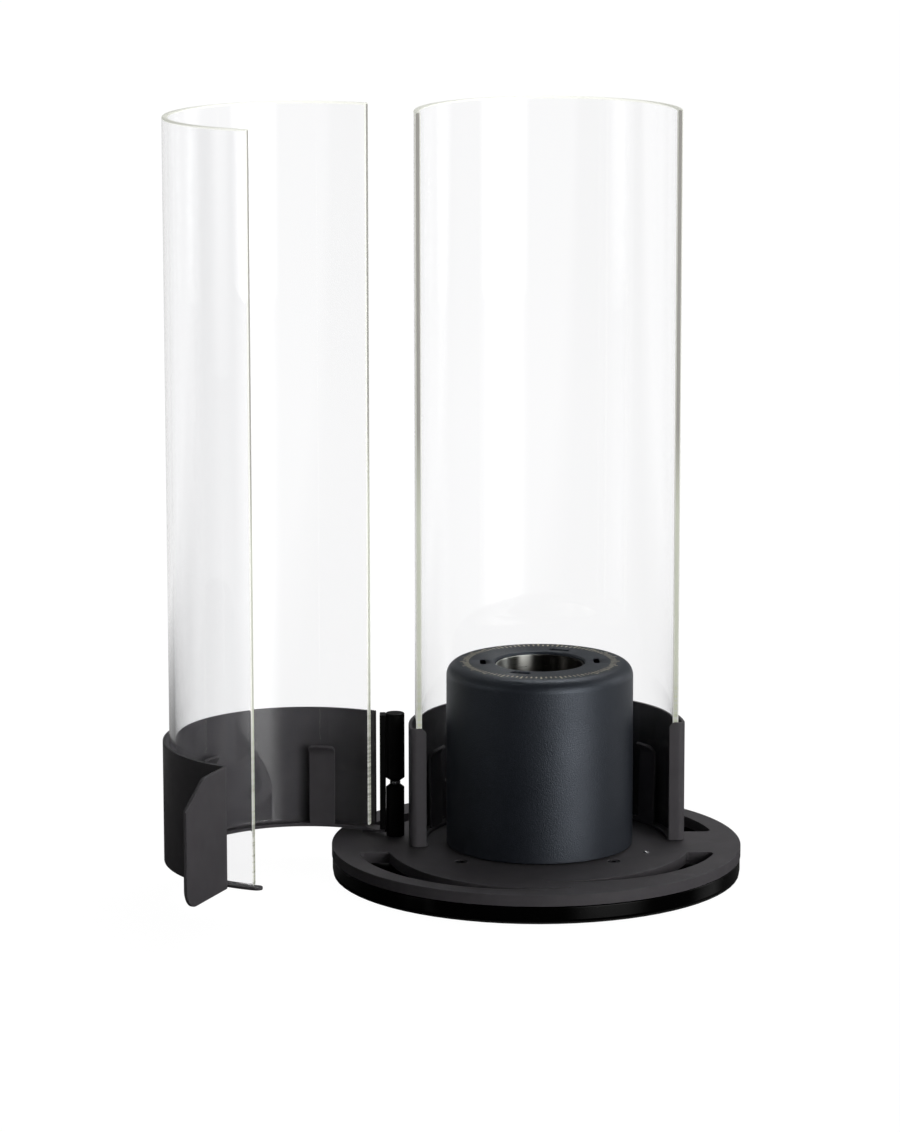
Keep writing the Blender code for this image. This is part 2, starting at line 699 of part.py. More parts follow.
def make_can():
    """The burner can: coated shell, steel cup, wool and base disc."""
    round_centre = (MOUTH_RADIUS + MOUTH_ROUND, CAN_TOP - MOUTH_ROUND)
    shoulder = (CAN_RADIUS - CAN_SHOULDER, CAN_TOP - CAN_SHOULDER)
    profile = [
        (MOUTH_RADIUS, CAN_TOP - MOUTH_DEPTH),
        *arc(MOUTH_ROUND, math.pi, math.pi / 2, 2, round_centre),
        *arc(CAN_SHOULDER, math.pi / 2, 0.0, 6, shoulder),
        (CAN_RADIUS, CAN_BOTTOM + CAN_EDGE),
        (CAN_RADIUS - CAN_EDGE, CAN_BOTTOM),
        (CAN_RADIUS - CAN_WALL, CAN_BOTTOM),
        *arc(CAN_SHOULDER - CAN_WALL, 0.0, math.pi / 2, 3, shoulder),
        (MOUTH_RADIUS + CAN_WALL, CAN_TOP - CAN_WALL),
        (MOUTH_RADIUS + CAN_WALL, CAN_TOP - MOUTH_DEPTH),
    ]
    shell = turned("can_shell", profile, slate, steps=60, closed=True)
    half_length = KEY_SLOT_LENGTH / 2
    half_width = KEY_SLOT_WIDTH / 2
    corners = [
        (-half_width, -half_length),
        (half_width, -half_length),
        (half_width, half_length),
        (-half_width, half_length),
    ]
    outline = rounded(corners, (half_width - STEP,) * 4)
    below = CAN_TOP - CAN_WALL - CUT_BEYOND
    for index, angle in enumerate(KEY_SLOT_ANGLES):
        cutter = plate(f"key_slot_{index}", outline, below, CAN_TOP + CUT_BEYOND)
        place = Matrix.Translation((CAN_X, 0.0, 0.0)) @ Matrix.Rotation(angle, 4, 'Z')
        cutter.matrix_world = place @ Matrix.Translation((KEY_SLOT_RADIUS, 0.0, 0.0))
        combine(shell, cutter, 'DIFFERENCE')
    shell.location.x = CAN_X

    base_top = CAN_BOTTOM + CAN_WALL
    rod("can_base", CAN_RADIUS - CAN_WALL - GAP, CAN_BOTTOM, base_top, (CAN_X, 0.0), slate, 64)

    floor = base_top + GAP
    neck_top = CAN_TOP - NECK_DEPTH
    cup_profile = [
        (0.0, floor + CUP_WALL),
        (CUP_RADIUS - CUP_WALL, floor + CUP_WALL),
        (CUP_RADIUS - CUP_WALL, CUP_SHOULDER - CUP_WALL),
        (NECK_RADIUS - CUP_WALL, CUP_SHOULDER + CUP_SLOPE - CUP_WALL),
        (NECK_RADIUS - CUP_WALL, neck_top),
        (NECK_RADIUS, neck_top),
        (NECK_RADIUS, CUP_SHOULDER + CUP_SLOPE),
        (CUP_RADIUS, CUP_SHOULDER),
        (CUP_RADIUS, floor),
        (0.0, floor),
    ]
    cup = turned("burner_cup", cup_profile, steel, steps=48)
    cup.location.x = CAN_X
    rod("ceramic_wool", CUP_RADIUS - CUP_WALL - 2 * GAP, floor + CUP_WALL + GAP, WOOL_TOP,
        (CAN_X, 0.0), wool, 48)


top_plate, lower_pan = make_base()
make_screws(top_plate, lower_pan)
make_fixed_side()
make_hinge_post()
hinge_axis = bpy.data.objects.new("door_hinge_axis", None)
parts.objects.link(hinge_axis)
hinge_axis.location = (HINGE_X, HINGE_Y, 0.0)
hinge_axis.rotation_euler.z = -DOOR_OPEN
bpy.context.view_layer.update()
make_door(hinge_axis)
make_can()
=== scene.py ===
"""The look of the table-top ethanol torch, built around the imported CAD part.

Units are metres, +Z is up and -Y is the front, as in the CAD. The door's pieces are drawn shut and then
turned about the hinge to the angle where the door stands open at rest."""

import json
import math

import bmesh
import bpy
from mathutils import Matrix, Vector


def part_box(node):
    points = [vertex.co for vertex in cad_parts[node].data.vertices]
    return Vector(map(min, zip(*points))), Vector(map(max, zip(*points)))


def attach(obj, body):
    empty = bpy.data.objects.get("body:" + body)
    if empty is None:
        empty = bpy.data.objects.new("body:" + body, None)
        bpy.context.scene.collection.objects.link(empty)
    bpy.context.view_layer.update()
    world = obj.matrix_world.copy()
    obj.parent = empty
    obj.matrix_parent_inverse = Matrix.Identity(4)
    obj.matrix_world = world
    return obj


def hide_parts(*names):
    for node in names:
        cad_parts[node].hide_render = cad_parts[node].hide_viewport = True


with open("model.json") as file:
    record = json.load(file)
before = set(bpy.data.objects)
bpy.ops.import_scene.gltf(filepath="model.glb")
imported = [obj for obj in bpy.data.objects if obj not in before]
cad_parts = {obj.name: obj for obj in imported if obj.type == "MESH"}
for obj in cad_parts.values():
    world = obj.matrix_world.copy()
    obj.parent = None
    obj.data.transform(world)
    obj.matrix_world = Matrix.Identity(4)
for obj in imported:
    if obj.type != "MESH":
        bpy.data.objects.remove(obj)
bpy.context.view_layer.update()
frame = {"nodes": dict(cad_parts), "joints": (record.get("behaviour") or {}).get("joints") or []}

# Places, read from the CAD.
PLATE_LOW, PLATE_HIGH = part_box("base_plate")
PAN_LOW, PAN_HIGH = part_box("base_pan")
FIXED_LOW, FIXED_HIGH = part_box("fixed_bracket")
DOOR_LOW, DOOR_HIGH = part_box("door_bracket")
CAN_LOW, CAN_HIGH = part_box("can_shell")
CUP_LOW, CUP_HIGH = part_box("burner_cup")
WOOL_LOW, WOOL_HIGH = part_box("ceramic_wool")
POST_LOW, POST_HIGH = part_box("hinge_post")
KNUCKLE_LOW, KNUCKLE_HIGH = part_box("hinge_knuckle")
PIN_LOW, PIN_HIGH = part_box("hinge_pin")
WASHER_LOW, WASHER_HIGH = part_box("hinge_washer")
STUD_LOW, STUD_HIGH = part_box("door_stud")
PLATE_TOP = PLATE_HIGH.z
BASE_RADIUS = PLATE_HIGH.x
CAN_CENTRE = (CAN_LOW + CAN_HIGH) / 2
CAN_RADIUS = CAN_HIGH.y
hinge_joint = next(joint for joint in frame["joints"] if joint["name"] == "door_hinge")
HINGE = Vector((*hinge_joint["pos_m"][:2], 0.0))

ORIGIN = Vector((0.0, 0.0, 0.0))
UP = Vector((0.0, 0.0, 1.0))

# The two halves are set off sideways, and the door stands open by this turn.
GLASS_OFFSET = 0.00485
FIXED_CENTRE = Vector((GLASS_OFFSET, 0.0, 0.0))
DOOR_CENTRE = Vector((-GLASS_OFFSET, 0.0, 0.0))
DOOR_OPEN = math.radians(120.5)
TO_OPEN = Matrix.Translation(HINGE) @ Matrix.Rotation(-DOOR_OPEN, 4, 'Z') @ Matrix.Translation(-HINGE)

# Glasses. Rim faces are counted around the section of the wall.
GLASS_RADIUS = 0.0600
GLASS_WALL = 0.0026
GLASS_EDGE = 0.0005
RIM_ROUND = 0.0009
TOP_RIM_FACES = (0, 1, 2, 12, 13, 14, 15)
FIXED_INSET = math.radians(2.0)
DOOR_GLASS_START = math.radians(181.0)
DOOR_GLASS_END = math.radians(370.3)

# Bent sheet of both holders. The wall keeps just inside the CAD's.
SHEET = 0.0015
SHEET_EDGE = 0.00028
WALL_OUTER = 0.0630
WALL_MIDDLE = WALL_OUTER - 0.000005 - SHEET / 2
FLANGE_RADIUS = 0.0550
FLANGE_INSET = 0.012
FLANGE_LIFT = 0.0001
FIXED_START = math.radians(0.9)
FIXED_END = math.radians(190.4)
BEND_RADIUS = 0.0022
LIP_REACH = 0.0556
LIP_CORNER = 0.0030
DOOR_START = math.radians(180.0)
DOOR_FOLD = math.radians(358.0)

# Runner under the door's glass, the handle and the hinge arm.
RUNNER_START = DOOR_FOLD - 0.03
RUNNER_END = math.radians(371.3)
RUNNER_INNER = 0.0562
RUNNER_OUTER = 0.0613
HANDLE_REACH = 0.0395
HANDLE_TURN = math.radians(7.6)
HANDLE_CHAMFER_RUN = 0.0185
HANDLE_CHAMFER_DROP = 0.0110
HANDLE_CORNER = 0.0095
CHAMFER_EASE = 0.0018
ARM_NEAR = -0.0025

# Spring tabs: places in degrees, and the lean on the way up (share of the rise, lean outward).
FIXED_TABS = (33.0, 94.0, 155.0)
DOOR_TABS = (203.5, 264.0, 324.5)
TAB_WIDTH = 0.0118
TAB_SHEET = 0.0013
TAB_RISE = 0.0385
TAB_CORNER = 0.0025
TAB_BEND = 0.0011
TAB_LEAN = ((0.30, 0.0002), (0.60, 0.0005), (0.85, 0.0007), (0.88, 0.00068), (0.905, 0.0005), (0.93, 0.0001),
            (0.95, -0.0005), (0.97, -0.0012), (0.985, -0.0018), (1.0, -0.0025))
TIP_LENGTH = 0.0042
TIP_STEP = 0.0006

# Base.
WEB_HALF_WIDTH = 0.0185
SLOT_TIP_WIDTH = 0.0009
SLOT_EDGE = 0.00022
OUTER_SLOT = dict(outer=0.0832, swell=0.0016, drift=-0.0025, width=0.0138, end=math.radians(100.0))
INNER_SLOT = dict(inner=0.0706, drift=-0.0008, width=0.0120, end=math.radians(88.0))
PAN_WALL = 0.0030
PAN_FLOOR = 0.0020
SCREW_GAP = 0.0003
SOCKET_DEPTH = 0.0014
STUD_GAP = 0.0002

# Hinge.
POST_RADIUS = 0.0042
KNUCKLE_RADIUS = 0.00435
KNUCKLE_BOTTOM = 0.0394
NOTCH_RADIUS = 0.0024
NOTCH_RISE = 0.0014
BORE_RADIUS = 0.0019
LEAF_INSIDE = 0.0046
LEAF_THICKNESS = 0.0024
LEAF_WIDTH = 0.0070
LEAF_SNUG = 0.00033
LEAF_NEAR = -0.0030
WELD_HALF_WIDTH = 0.0022

# Burner can. Each ring of ticks has a number, the share of a step that is ink, and an outer radius.
CAN_SHEET = 0.0010
SHOULDER_RADIUS = 0.0060
MOUTH_RADIUS = 0.0204
MOUTH_LIP = 0.0024
KEY_SLOTS = (2.0, 69.0, 182.0, 249.0)
KEY_SLOT_RADIUS = 0.0258
TICKS = ((96.0, 0.17, 0.0350), (24.0, 0.045, 0.0363))
TICK_START = 0.0322
INK_EDGE = 0.00005
NECK_RADIUS = 0.0201
NECK_FOOT = 0.0840
CUP_RADIUS = 0.0388
CUP_SHOULDER = 0.0800
CUP_SHEET = 0.0008
TUFT_HEIGHT = 0.00025

# Studio. A glow of the floor has its turn to the right of the front, its strength, and where it starts and is
# full. A softbox has its name, such a turn, its rise, distance, width, height and power.
STUDIO_DARK = 0.03
BACKDROP = 0.14
OVERLIT = 1.015
FLOOR_SIZE = 60.0
FLOOR_GLOWS = ((180.0, 0.85, 0.15, 0.55), (58.0, 0.45, 0.12, 0.45))
STUDIO_LAMPS = (
    ("key_box", 40.0, 7.0, 1.6, 1.50, 1.30, 12.5),
    ("rim_right", 110.0, 20.0, 1.6, 0.90, 0.90, 2.8),
    ("rim_top", 163.0, 60.0, 1.5, 1.20, 0.90, 6.5),
    ("fill_left", -68.0, 10.0, 1.6, 0.70, 1.10, 1.0),
)
SOFT_EDGE = 0.4
CAMERA_PLACE = (-0.04238, -2.16339, 0.57954)
CAMERA_LENS = 155.385


# Shapes

def add_object(name, data):
    """A new object in the scene."""
    thing = bpy.data.objects.new(name, data)
    bpy.context.scene.collection.objects.link(thing)
    return thing


def polar(radius, angle, centre=ORIGIN, height=0.0):
    """The point at a radius and an angle around a centre, at a height."""
    return centre + Vector((radius * math.cos(angle), radius * math.sin(angle), height))


def spread(start, end, steps):
    """Evenly spaced numbers, both ends included."""
    return [start + (end - start) * step / steps for step in range(steps + 1)]


def soften(points, radii, steps=4):
    """A closed outline in a plane, with arcs for corners where the radius isn't zero."""
    outline = []
    for index, radius in enumerate(radii):
        corner = Vector(points[index])
        if not radius:
            outline.append(corner)
            continue
        before = (Vector(points[index - 1]) - corner).normalized()
        after = (Vector(points[(index + 1) % len(points)]) - corner).normalized()
        half = before.angle(after) / 2
        middle = corner + (before + after).normalized() * radius / math.sin(half)
        first = corner + before * radius / math.tan(half) - middle
        last = corner + after * radius / math.tan(half) - middle
        turn = first.angle_signed(last)
        for step in range(steps + 1):
            outline.append(middle + Matrix.Rotation(-turn * step / steps, 2) @ first)
    return outline


def shaded(name, mesh, sharp=50.0):
    """A new object whose flat faces stay flat and whose rounded edges are smooth."""
    mesh.shade_smooth()
    mesh.set_sharp_from_angle(angle=math.radians(sharp))
    thing = add_object(name, mesh)
    normals = thing.modifiers.new("normals", 'WEIGHTED_NORMAL')
    normals.keep_sharp = True
    return thing


def skin(work, loops):
    """A closed body through a row of equal loops."""
    rings = [[work.verts.new(point) for point in loop] for loop in loops]
    count = len(rings[0])
    for first, second in zip(rings, rings[1:]):
        for index in range(count):
            beside = (index + 1) % count
            work.faces.new((first[index], first[beside], second[beside], second[index]))
    return [work.faces.new(rings[0][::-1]), work.faces.new(rings[-1])]


def section(low, high, half, radius, steps=3):
    """A rounded rectangle from low to high across and half either side of the middle."""
    loop = []
    corners = ((high, half, 0), (low, half, 90), (low, -half, 180), (high, -half, 270))
    for across, out, start in corners:
        centre_across = across - radius if across == high else across + radius
        centre_out = out - radius if out > 0 else out + radius
        for angle in spread(math.radians(start), math.radians(start + 90), steps):
            loop.append((centre_across + radius * math.cos(angle), centre_out + radius * math.sin(angle)))
    return loop


def band_loops(stations, half, radius, end_radius=None):
    """Loops of a band of sheet. A station is (middle, width axis, normal, low, high)."""
    end_radius = radius if end_radius is None else end_radius
    ends = []
    for station, inner in ((stations[0], stations[1]), (stations[-1], stations[-2])):
        middle, across, normal, low, high = station
        inward = (inner[0] - middle).normalized()
        rounded_end = []
        for angle in (90.0, 60.0, 30.0, 0.0):
            turn = math.radians(angle)
            back = end_radius * (1 - math.sin(turn))
            shrink = end_radius * (1 - math.cos(turn))
            rounded_end.append((middle + inward * back, across, normal, low, high, shrink))
        ends.append(rounded_end)
    between = [(*station, 0.0) for station in stations[1:-1]]
    rows = ends[0] + between + ends[1][::-1]
    loops = []
    for middle, across, normal, low, high, shrink in rows:
        corner = max(radius - shrink, radius * 0.15)
        flat = section(low + shrink, high - shrink, half - shrink, corner)
        loops.append([middle + across * along + normal * out for along, out in flat])
    return loops


def to_mesh(name, work, place=None):
    """The finished mesh of a body, its faces looking outward, moved to its place if one is given."""
    bmesh.ops.recalc_face_normals(work, faces=work.faces)
    mesh = bpy.data.meshes.new(name)
    work.to_mesh(mesh)
    work.free()
    if place is not None:
        mesh.transform(place)
    return mesh


def plan_stations(path, lows, highs):
    """Stations of a band that stands upright on a path in plan."""
    stations = []
    for index, point in enumerate(path):
        before = path[max(index - 1, 0)]
        after = path[min(index + 1, len(path) - 1)]
        along = (after - before).normalized()
        stations.append((Vector(point), UP, along.cross(UP).normalized(), lows[index], highs[index]))
    return stations


def ring_stations(inner, outer, angles, centre, height):
    """Stations of a flat band between two radii."""
    stations = []
    for angle in angles:
        out = polar(1.0, angle)
        middle = centre + UP * height + out * (inner + outer) / 2
        stations.append((middle, out, UP, -(outer - inner) / 2, (outer - inner) / 2))
    return stations


def turned(name, profile, steps, closed=False, place=ORIGIN):
    """A body turned about an upright axis. An open profile starts and ends on the axis."""
    work = bmesh.new()
    columns = []
    for step in range(steps):
        angle = 2 * math.pi * step / steps
        column = []
        for index, (radius, height) in enumerate(profile):
            if radius == 0.0 and step:
                column.append(columns[0][index])
            else:
                column.append(work.verts.new(polar(radius, angle, place, height)))
        columns.append(column)
    count = len(profile)
    spans = range(count if closed else count - 1)
    for step in range(steps):
        here, beside = columns[step], columns[(step + 1) % steps]
        for index in spans:
            after = (index + 1) % count
            corners = (here[index], beside[index], beside[after], here[after])
            work.faces.new(tuple(dict.fromkeys(corners)))
    return to_mesh(name, work)


def reopened(mesh):
    """The editable body of a mesh, which it replaces."""
    work = bmesh.new()
    work.from_mesh(mesh)
    bpy.data.meshes.remove(mesh)
    return work


def evaluated_mesh(thing):
    """A new mesh of an object as its curve settings or modifiers shape it."""
    bpy.context.view_layer.update()
    seen = thing.evaluated_get(bpy.context.evaluated_depsgraph_get())
    return bpy.data.meshes.new_from_object(seen)


def flat_plate(name, outlines, bottom, top, edge, resolution=2):
    """A flat plate with holes and rounded edges. The first outline is the outside."""
    curve = bpy.data.curves.new(name, 'CURVE')
    curve.dimensions = '2D'
    curve.fill_mode = 'BOTH'
    curve.extrude = (top - bottom) / 2 - edge
    curve.bevel_depth = edge
    curve.bevel_resolution = resolution
    curve.offset = -edge
    for outline in outlines:
        spline = curve.splines.new('POLY')
        spline.points.add(len(outline) - 1)
        for point, place in zip(spline.points, outline):
            point.co = (place[0], place[1], 0.0, 1.0)
        spline.use_cyclic_u = True
    guide = add_object(name, curve)
    work = reopened(evaluated_mesh(guide))
    bpy.data.objects.remove(guide)
    bmesh.ops.remove_doubles(work, verts=work.verts, dist=0.000002)
    bmesh.ops.translate(work, verts=work.verts, vec=(0.0, 0.0, (bottom + top) / 2))
    return to_mesh(name, work)


def cut(thing, mesh):
    """Cut a body out of an object and apply the cut."""
    cutter = add_object(mesh.name, mesh)
    change = thing.modifiers.new("cut", 'BOOLEAN')
    change.operation = 'DIFFERENCE'
    change.object = cutter
    change.solver = 'EXACT'
    thing.modifiers.move(len(thing.modifiers) - 1, 0)
    cut_mesh = evaluated_mesh(thing)
    thing.modifiers.remove(change)
    thing.data = cut_mesh
    bpy.data.objects.remove(cutter)


# Materials

def add_node(tree, kind, **settings):
    """A new node with its settings and unlinked inputs."""
    made = tree.nodes.new(kind)
    for key, value in settings.items():
        if hasattr(made, key):
            setattr(made, key, value)
        else:
            made.inputs[key.replace("_", " ")].default_value = value
    return made


def math_node(tree, operation, *sources):
    """The output of a math node. A source is another node's output or a number."""
    made = add_node(tree, "ShaderNodeMath", operation=operation)
    for socket, source in zip(made.inputs, sources):
        if isinstance(source, float):
            socket.default_value = source
        else:
            tree.links.new(source, socket)
    return made.outputs[0]


def split_axes(tree, source):
    """The X, Y and Z outputs of a vector."""
    made = add_node(tree, "ShaderNodeSeparateXYZ")
    tree.links.new(source, made.inputs["Vector"])
    return made.outputs


class Look:
    """A Principled material with helpers for its node tree."""

    def __init__(self, name, colour, roughness, metallic=0.0):
        self.material = bpy.data.materials.new(name)
        self.material.use_nodes = True
        self.tree = self.material.node_tree
        self.shader = self.tree.nodes["Principled BSDF"]
        self.output = self.tree.nodes["Material Output"]
        self.set("Base Color", (*colour, 1.0))
        self.set("Roughness", roughness)
        self.set("Metallic", metallic)
        self.place = self.node("ShaderNodeTexCoord").outputs["Object"]

    def set(self, socket, value):
        """Set one of the shader's own sockets."""
        self.shader.inputs[socket].default_value = value

    def node(self, kind, **settings):
        """A new node in this material."""
        return add_node(self.tree, kind, **settings)

    def link(self, source, target):
        """Join an output to an input."""
        self.tree.links.new(source, target)

    def noise(self, scale, detail=3.0, roughness=0.55, stretch=None, distortion=0.0):
        """Noise whose features are 1/scale metres across, stretched along axes if asked."""
        made = self.node("ShaderNodeTexNoise", Scale=scale, Detail=detail, Roughness=roughness,
                         Distortion=distortion)
        place = self.place
        if stretch:
            scaling = self.node("ShaderNodeMapping", Scale=stretch)
            self.link(place, scaling.inputs["Vector"])
            place = scaling.outputs["Vector"]
        self.link(place, made.inputs["Vector"])
        return made.outputs["Fac"]

    def ramp(self, source, low, high, start=0.3, end=0.7):
        """A number read from another, from low to high."""
        made = self.node("ShaderNodeMapRange", From_Min=start, From_Max=end, To_Min=low, To_Max=high)
        self.link(source, made.inputs["Value"])
        return made.outputs["Result"]

    def blend(self, factor, first, second):
        """A colour between two, by a factor."""
        made = self.node("ShaderNodeMix", data_type='RGBA')
        self.link(factor, made.inputs["Factor"])
        for socket, value in ((made.inputs[6], first), (made.inputs[7], second)):
            if isinstance(value, tuple):
                socket.default_value = (*value, 1.0)
            else:
                self.link(value, socket)
        return made.outputs[2]

    def product(self, first, second):
        """Two numbers multiplied."""
        return math_node(self.tree, 'MULTIPLY', first, second)

    def colour(self, source):
        """Drive the base colour."""
        self.link(source, self.shader.inputs["Base Color"])

    def roughness(self, source):
        """Drive the roughness."""
        self.link(source, self.shader.inputs["Roughness"])

    def bump(self, source, height, previous=None):
        """A bump of a real height in metres, on top of another if one is given."""
        made = self.node("ShaderNodeBump", Strength=1.0, Distance=height)
        self.link(source, made.inputs["Height"])
        if previous is not None:
            self.link(previous, made.inputs["Normal"])
        self.link(made.outputs["Normal"], self.shader.inputs["Normal"])
        return made.outputs["Normal"]


def edge_wear(look, amount=0.35):
    """How far a point is worn: along convex edges only, and patchy."""
    shape = look.node("ShaderNodeNewGeometry")
    edge = look.ramp(shape.outputs["Pointiness"], 0.0, 1.0, 0.52, 0.60)
    patch = look.ramp(look.noise(180.0, 4.0), 0.0, 1.0, 0.52, 0.66)
    return look.ramp(look.product(edge, patch), 0.0, amount, 0.0, 1.0)


def scaled(colour, factor, lift=0.0):
    """A colour made lighter or darker."""
    return tuple(channel * factor + lift for channel in colour)


def powder_coat(name, colour, roughness, grain, painted_shade_reach=0.0):
    """Fine-textured powder coat: a leathery grain, a faint mottle and lightly worn edges.

    With a reach given, corners and hollows are painted darker where ambient occlusion finds them: painted
    shade."""
    look = Look(name, colour, roughness)
    mottle = look.ramp(look.noise(95.0, 4.0), 0.0, 1.0, 0.35, 0.65)
    base = look.blend(mottle, scaled(colour, 0.94), scaled(colour, 1.06))
    if painted_shade_reach:
        # Painted shade: the coat is painted darker in corners and hollows, by ambient occlusion.
        painted_shade_ao = look.node("ShaderNodeAmbientOcclusion", samples=6, only_local=True, Distance=painted_shade_reach)
        base = look.blend(look.ramp(painted_shade_ao.outputs["AO"], 0.0, 1.0, 0.12, 0.55), scaled(colour, 0.25), base)
    look.colour(look.blend(edge_wear(look), base, scaled(colour, 1.9, 0.002)))
    look.roughness(look.ramp(look.noise(26.0), roughness - 0.05, roughness + 0.06))
    coarse = look.bump(look.noise(2000.0, 2.0, 0.5), grain)
    look.bump(look.noise(4200.0, 1.0, 0.5), grain * 0.35, coarse)
    return look


def print_ticks(look):
    """A printed ring of plain tick marks around the can's mouth."""
    shift = look.node("ShaderNodeVectorMath", operation='SUBTRACT')
    shift.inputs[1].default_value = (CAN_CENTRE.x, 0.0, CAN_HIGH.z)
    look.link(look.place, shift.inputs[0])
    axes = split_axes(look.tree, shift.outputs["Vector"])
    angle = math_node(look.tree, 'ARCTAN2', axes["Y"], axes["X"])
    ring = look.node("ShaderNodeCombineXYZ")
    look.link(axes["X"], ring.inputs["X"])
    look.link(axes["Y"], ring.inputs["Y"])
    radius = look.node("ShaderNodeVectorMath", operation='LENGTH')
    look.link(ring.outputs["Vector"], radius.inputs[0])
    reach = radius.outputs["Value"]
    marks = []
    for count, width, outer in TICKS:
        turn = math_node(look.tree, 'MULTIPLY', angle, count / (2 * math.pi))
        line = look.ramp(math_node(look.tree, 'PINGPONG', turn, 0.5), 1.0, 0.0, width * 0.8, width * 1.2)
        from_inside = look.ramp(reach, 0.0, 1.0, TICK_START - INK_EDGE, TICK_START + INK_EDGE)
        to_outside = look.ramp(reach, 1.0, 0.0, outer - INK_EDGE, outer + INK_EDGE)
        marks.append(look.product(line, look.product(from_inside, to_outside)))
    both = math_node(look.tree, 'MAXIMUM', *marks)
    top = look.ramp(axes["Z"], 0.0, 1.0, -0.0012, -0.0008)
    worn = look.ramp(look.noise(700.0, 3.0), 0.15, 0.85, 0.34, 0.48)
    ink = look.product(look.product(both, top), worn)
    coat = look.shader.inputs["Base Color"].links[0].from_socket
    look.colour(look.blend(ink, coat, (0.85, 0.76, 0.54)))


def make_looks():
    """Every material, by the record's slot name."""
    looks = {}
    # The anthracite coat carries painted shade in its corners and hollows.
    sheet = powder_coat("anthracite_coat", (0.098, 0.092, 0.100), 0.50, 0.00007, 0.030)
    sheet.set("Specular IOR Level", 0.35)
    looks["anthracite_coat"] = sheet

    gloss = Look("gloss_black", (0.0015, 0.0015, 0.0015), 0.14)
    gloss.set("Specular IOR Level", 0.12)
    gloss.bump(gloss.noise(420.0, 2.0), 0.000012)
    gloss.roughness(gloss.ramp(gloss.noise(60.0, 5.0), 0.10, 0.20, 0.35, 0.7))
    gloss.colour(gloss.blend(gloss.ramp(gloss.noise(900.0, 2.0), 0.0, 1.0, 0.68, 0.76),
                             (0.0015, 0.0015, 0.0015), (0.006, 0.006, 0.006)))
    looks["gloss_black"] = gloss

    rubber = Look("black_rubber", (0.010, 0.010, 0.010), 0.85)
    rubber.bump(rubber.noise(1100.0, 3.0), 0.00006)
    rubber.colour(rubber.blend(rubber.ramp(rubber.noise(70.0, 4.0), 0.0, 1.0), (0.008, 0.008, 0.008),
                               (0.016, 0.016, 0.015)))
    looks["black_rubber"] = rubber

    looks["hinge_black"] = powder_coat("hinge_black", (0.005, 0.005, 0.005), 0.46, 0.00002)
    looks["hinge_black"].set("Specular IOR Level", 0.15)

    slate = powder_coat("slate_coat", (0.014, 0.017, 0.024), 0.42, 0.00013)
    slate.set("Specular IOR Level", 0.95)
    slate.set("Specular Tint", (0.80, 0.88, 1.0, 1.0))
    print_ticks(slate)
    looks["slate_coat"] = slate

    steel = Look("stainless_steel", (0.86, 0.88, 0.84), 0.30, 1.0)
    drawn = steel.noise(900.0, 3.0, 0.6, (0.10, 0.10, 2.2))
    steel.bump(drawn, 0.000004)
    steel.roughness(steel.ramp(drawn, 0.27, 0.32))
    heat = steel.ramp(steel.noise(45.0, 3.0), 0.0, 0.5, 0.45, 0.75)
    neck = steel.blend(heat, (0.86, 0.88, 0.84), (0.72, 0.66, 0.55))
    # Painted light: the steel keeps its own colour only high on the neck and on its left side, where it is
    # lit, and is painted near black deeper down and to the right as painted shade.
    axes = split_axes(steel.tree, steel.place)
    painted_lit_height = steel.ramp(axes["Z"], 0.0, 1.0, CUP_HIGH.z - 0.0110, CUP_HIGH.z - 0.0050)
    painted_lit_side = steel.ramp(axes["X"], 1.0, 0.0, CAN_CENTRE.x - 0.012, CAN_CENTRE.x + 0.002)
    steel.colour(steel.blend(steel.product(painted_lit_height, painted_lit_side), (0.07, 0.065, 0.06), neck))
    steel.set("Anisotropic", 0.95)
    steel.set("Anisotropic Rotation", 0.25)
    around = steel.node("ShaderNodeTangent", direction_type='RADIAL', axis='Z')
    steel.link(around.outputs["Tangent"], steel.shader.inputs["Tangent"])
    looks["stainless_steel"] = steel

    screw = Look("blackened_screw", (0.030, 0.030, 0.032), 0.40, 1.0)
    screw.bump(screw.noise(2500.0, 2.0), 0.000010)
    screw.roughness(screw.ramp(screw.noise(500.0, 2.0), 0.32, 0.50))
    screw.colour(screw.blend(edge_wear(screw, 0.6), (0.030, 0.030, 0.032), (0.22, 0.22, 0.21)))
    looks["blackened_screw"] = screw

    zinc = Look("zinc_steel", (0.62, 0.62, 0.62), 0.25, 1.0)
    zinc.bump(zinc.noise(1800.0, 2.0), 0.000010)
    zinc.roughness(zinc.ramp(zinc.noise(700.0, 3.0), 0.18, 0.34))
    zinc.colour(zinc.blend(zinc.ramp(zinc.noise(260.0, 3.0), 0.0, 1.0), (0.66, 0.66, 0.66),
                           (0.54, 0.55, 0.57)))
    looks["zinc_steel"] = zinc

    wool = Look("ceramic_wool", (0.30, 0.29, 0.27), 0.95)
    fibres = wool.noise(1300.0, 6.0, 0.7, (1.0, 0.25, 1.0), 1.5)
    wool.bump(fibres, 0.0004)
    wool.colour(wool.blend(wool.ramp(fibres, 0.0, 1.0), (0.13, 0.12, 0.11), (0.36, 0.35, 0.33)))
    wool.set("Sheen Weight", 0.3)
    looks["ceramic_wool"] = wool

    looks["clear_glass"] = glass_look("clear_glass", (0.970, 0.971, 0.976))
    # The glass edge and rim materials glow: painted glow.
    looks["glass_edge"] = ground_edge("glass_edge", (0.42, 0.41, 0.38), (0.74, 0.77, 0.64), 0.45)
    looks["glass_rim"] = ground_edge("glass_rim", (0.84, 0.85, 0.77), (0.86, 0.87, 0.80), 0.50)
    return looks


def glass_look(name, colour):
    """Borosilicate glass that lets lamps through. It is faintly wavy and carries a few smears."""
    look = Look(name, colour, 0.0)
    look.set("Transmission Weight", 1.0)
    look.set("IOR", 1.473)
    look.bump(look.noise(34.0, 2.0, 0.4, (1.0, 1.0, 0.12)), 0.00002)
    smear = look.noise(38.0, 5.0, 0.6, (1.0, 1.0, 0.4))
    look.roughness(look.ramp(smear, 0.0, 0.035, 0.56, 0.78))
    lamp_through(look, (0.93, 0.945, 0.94))
    return look


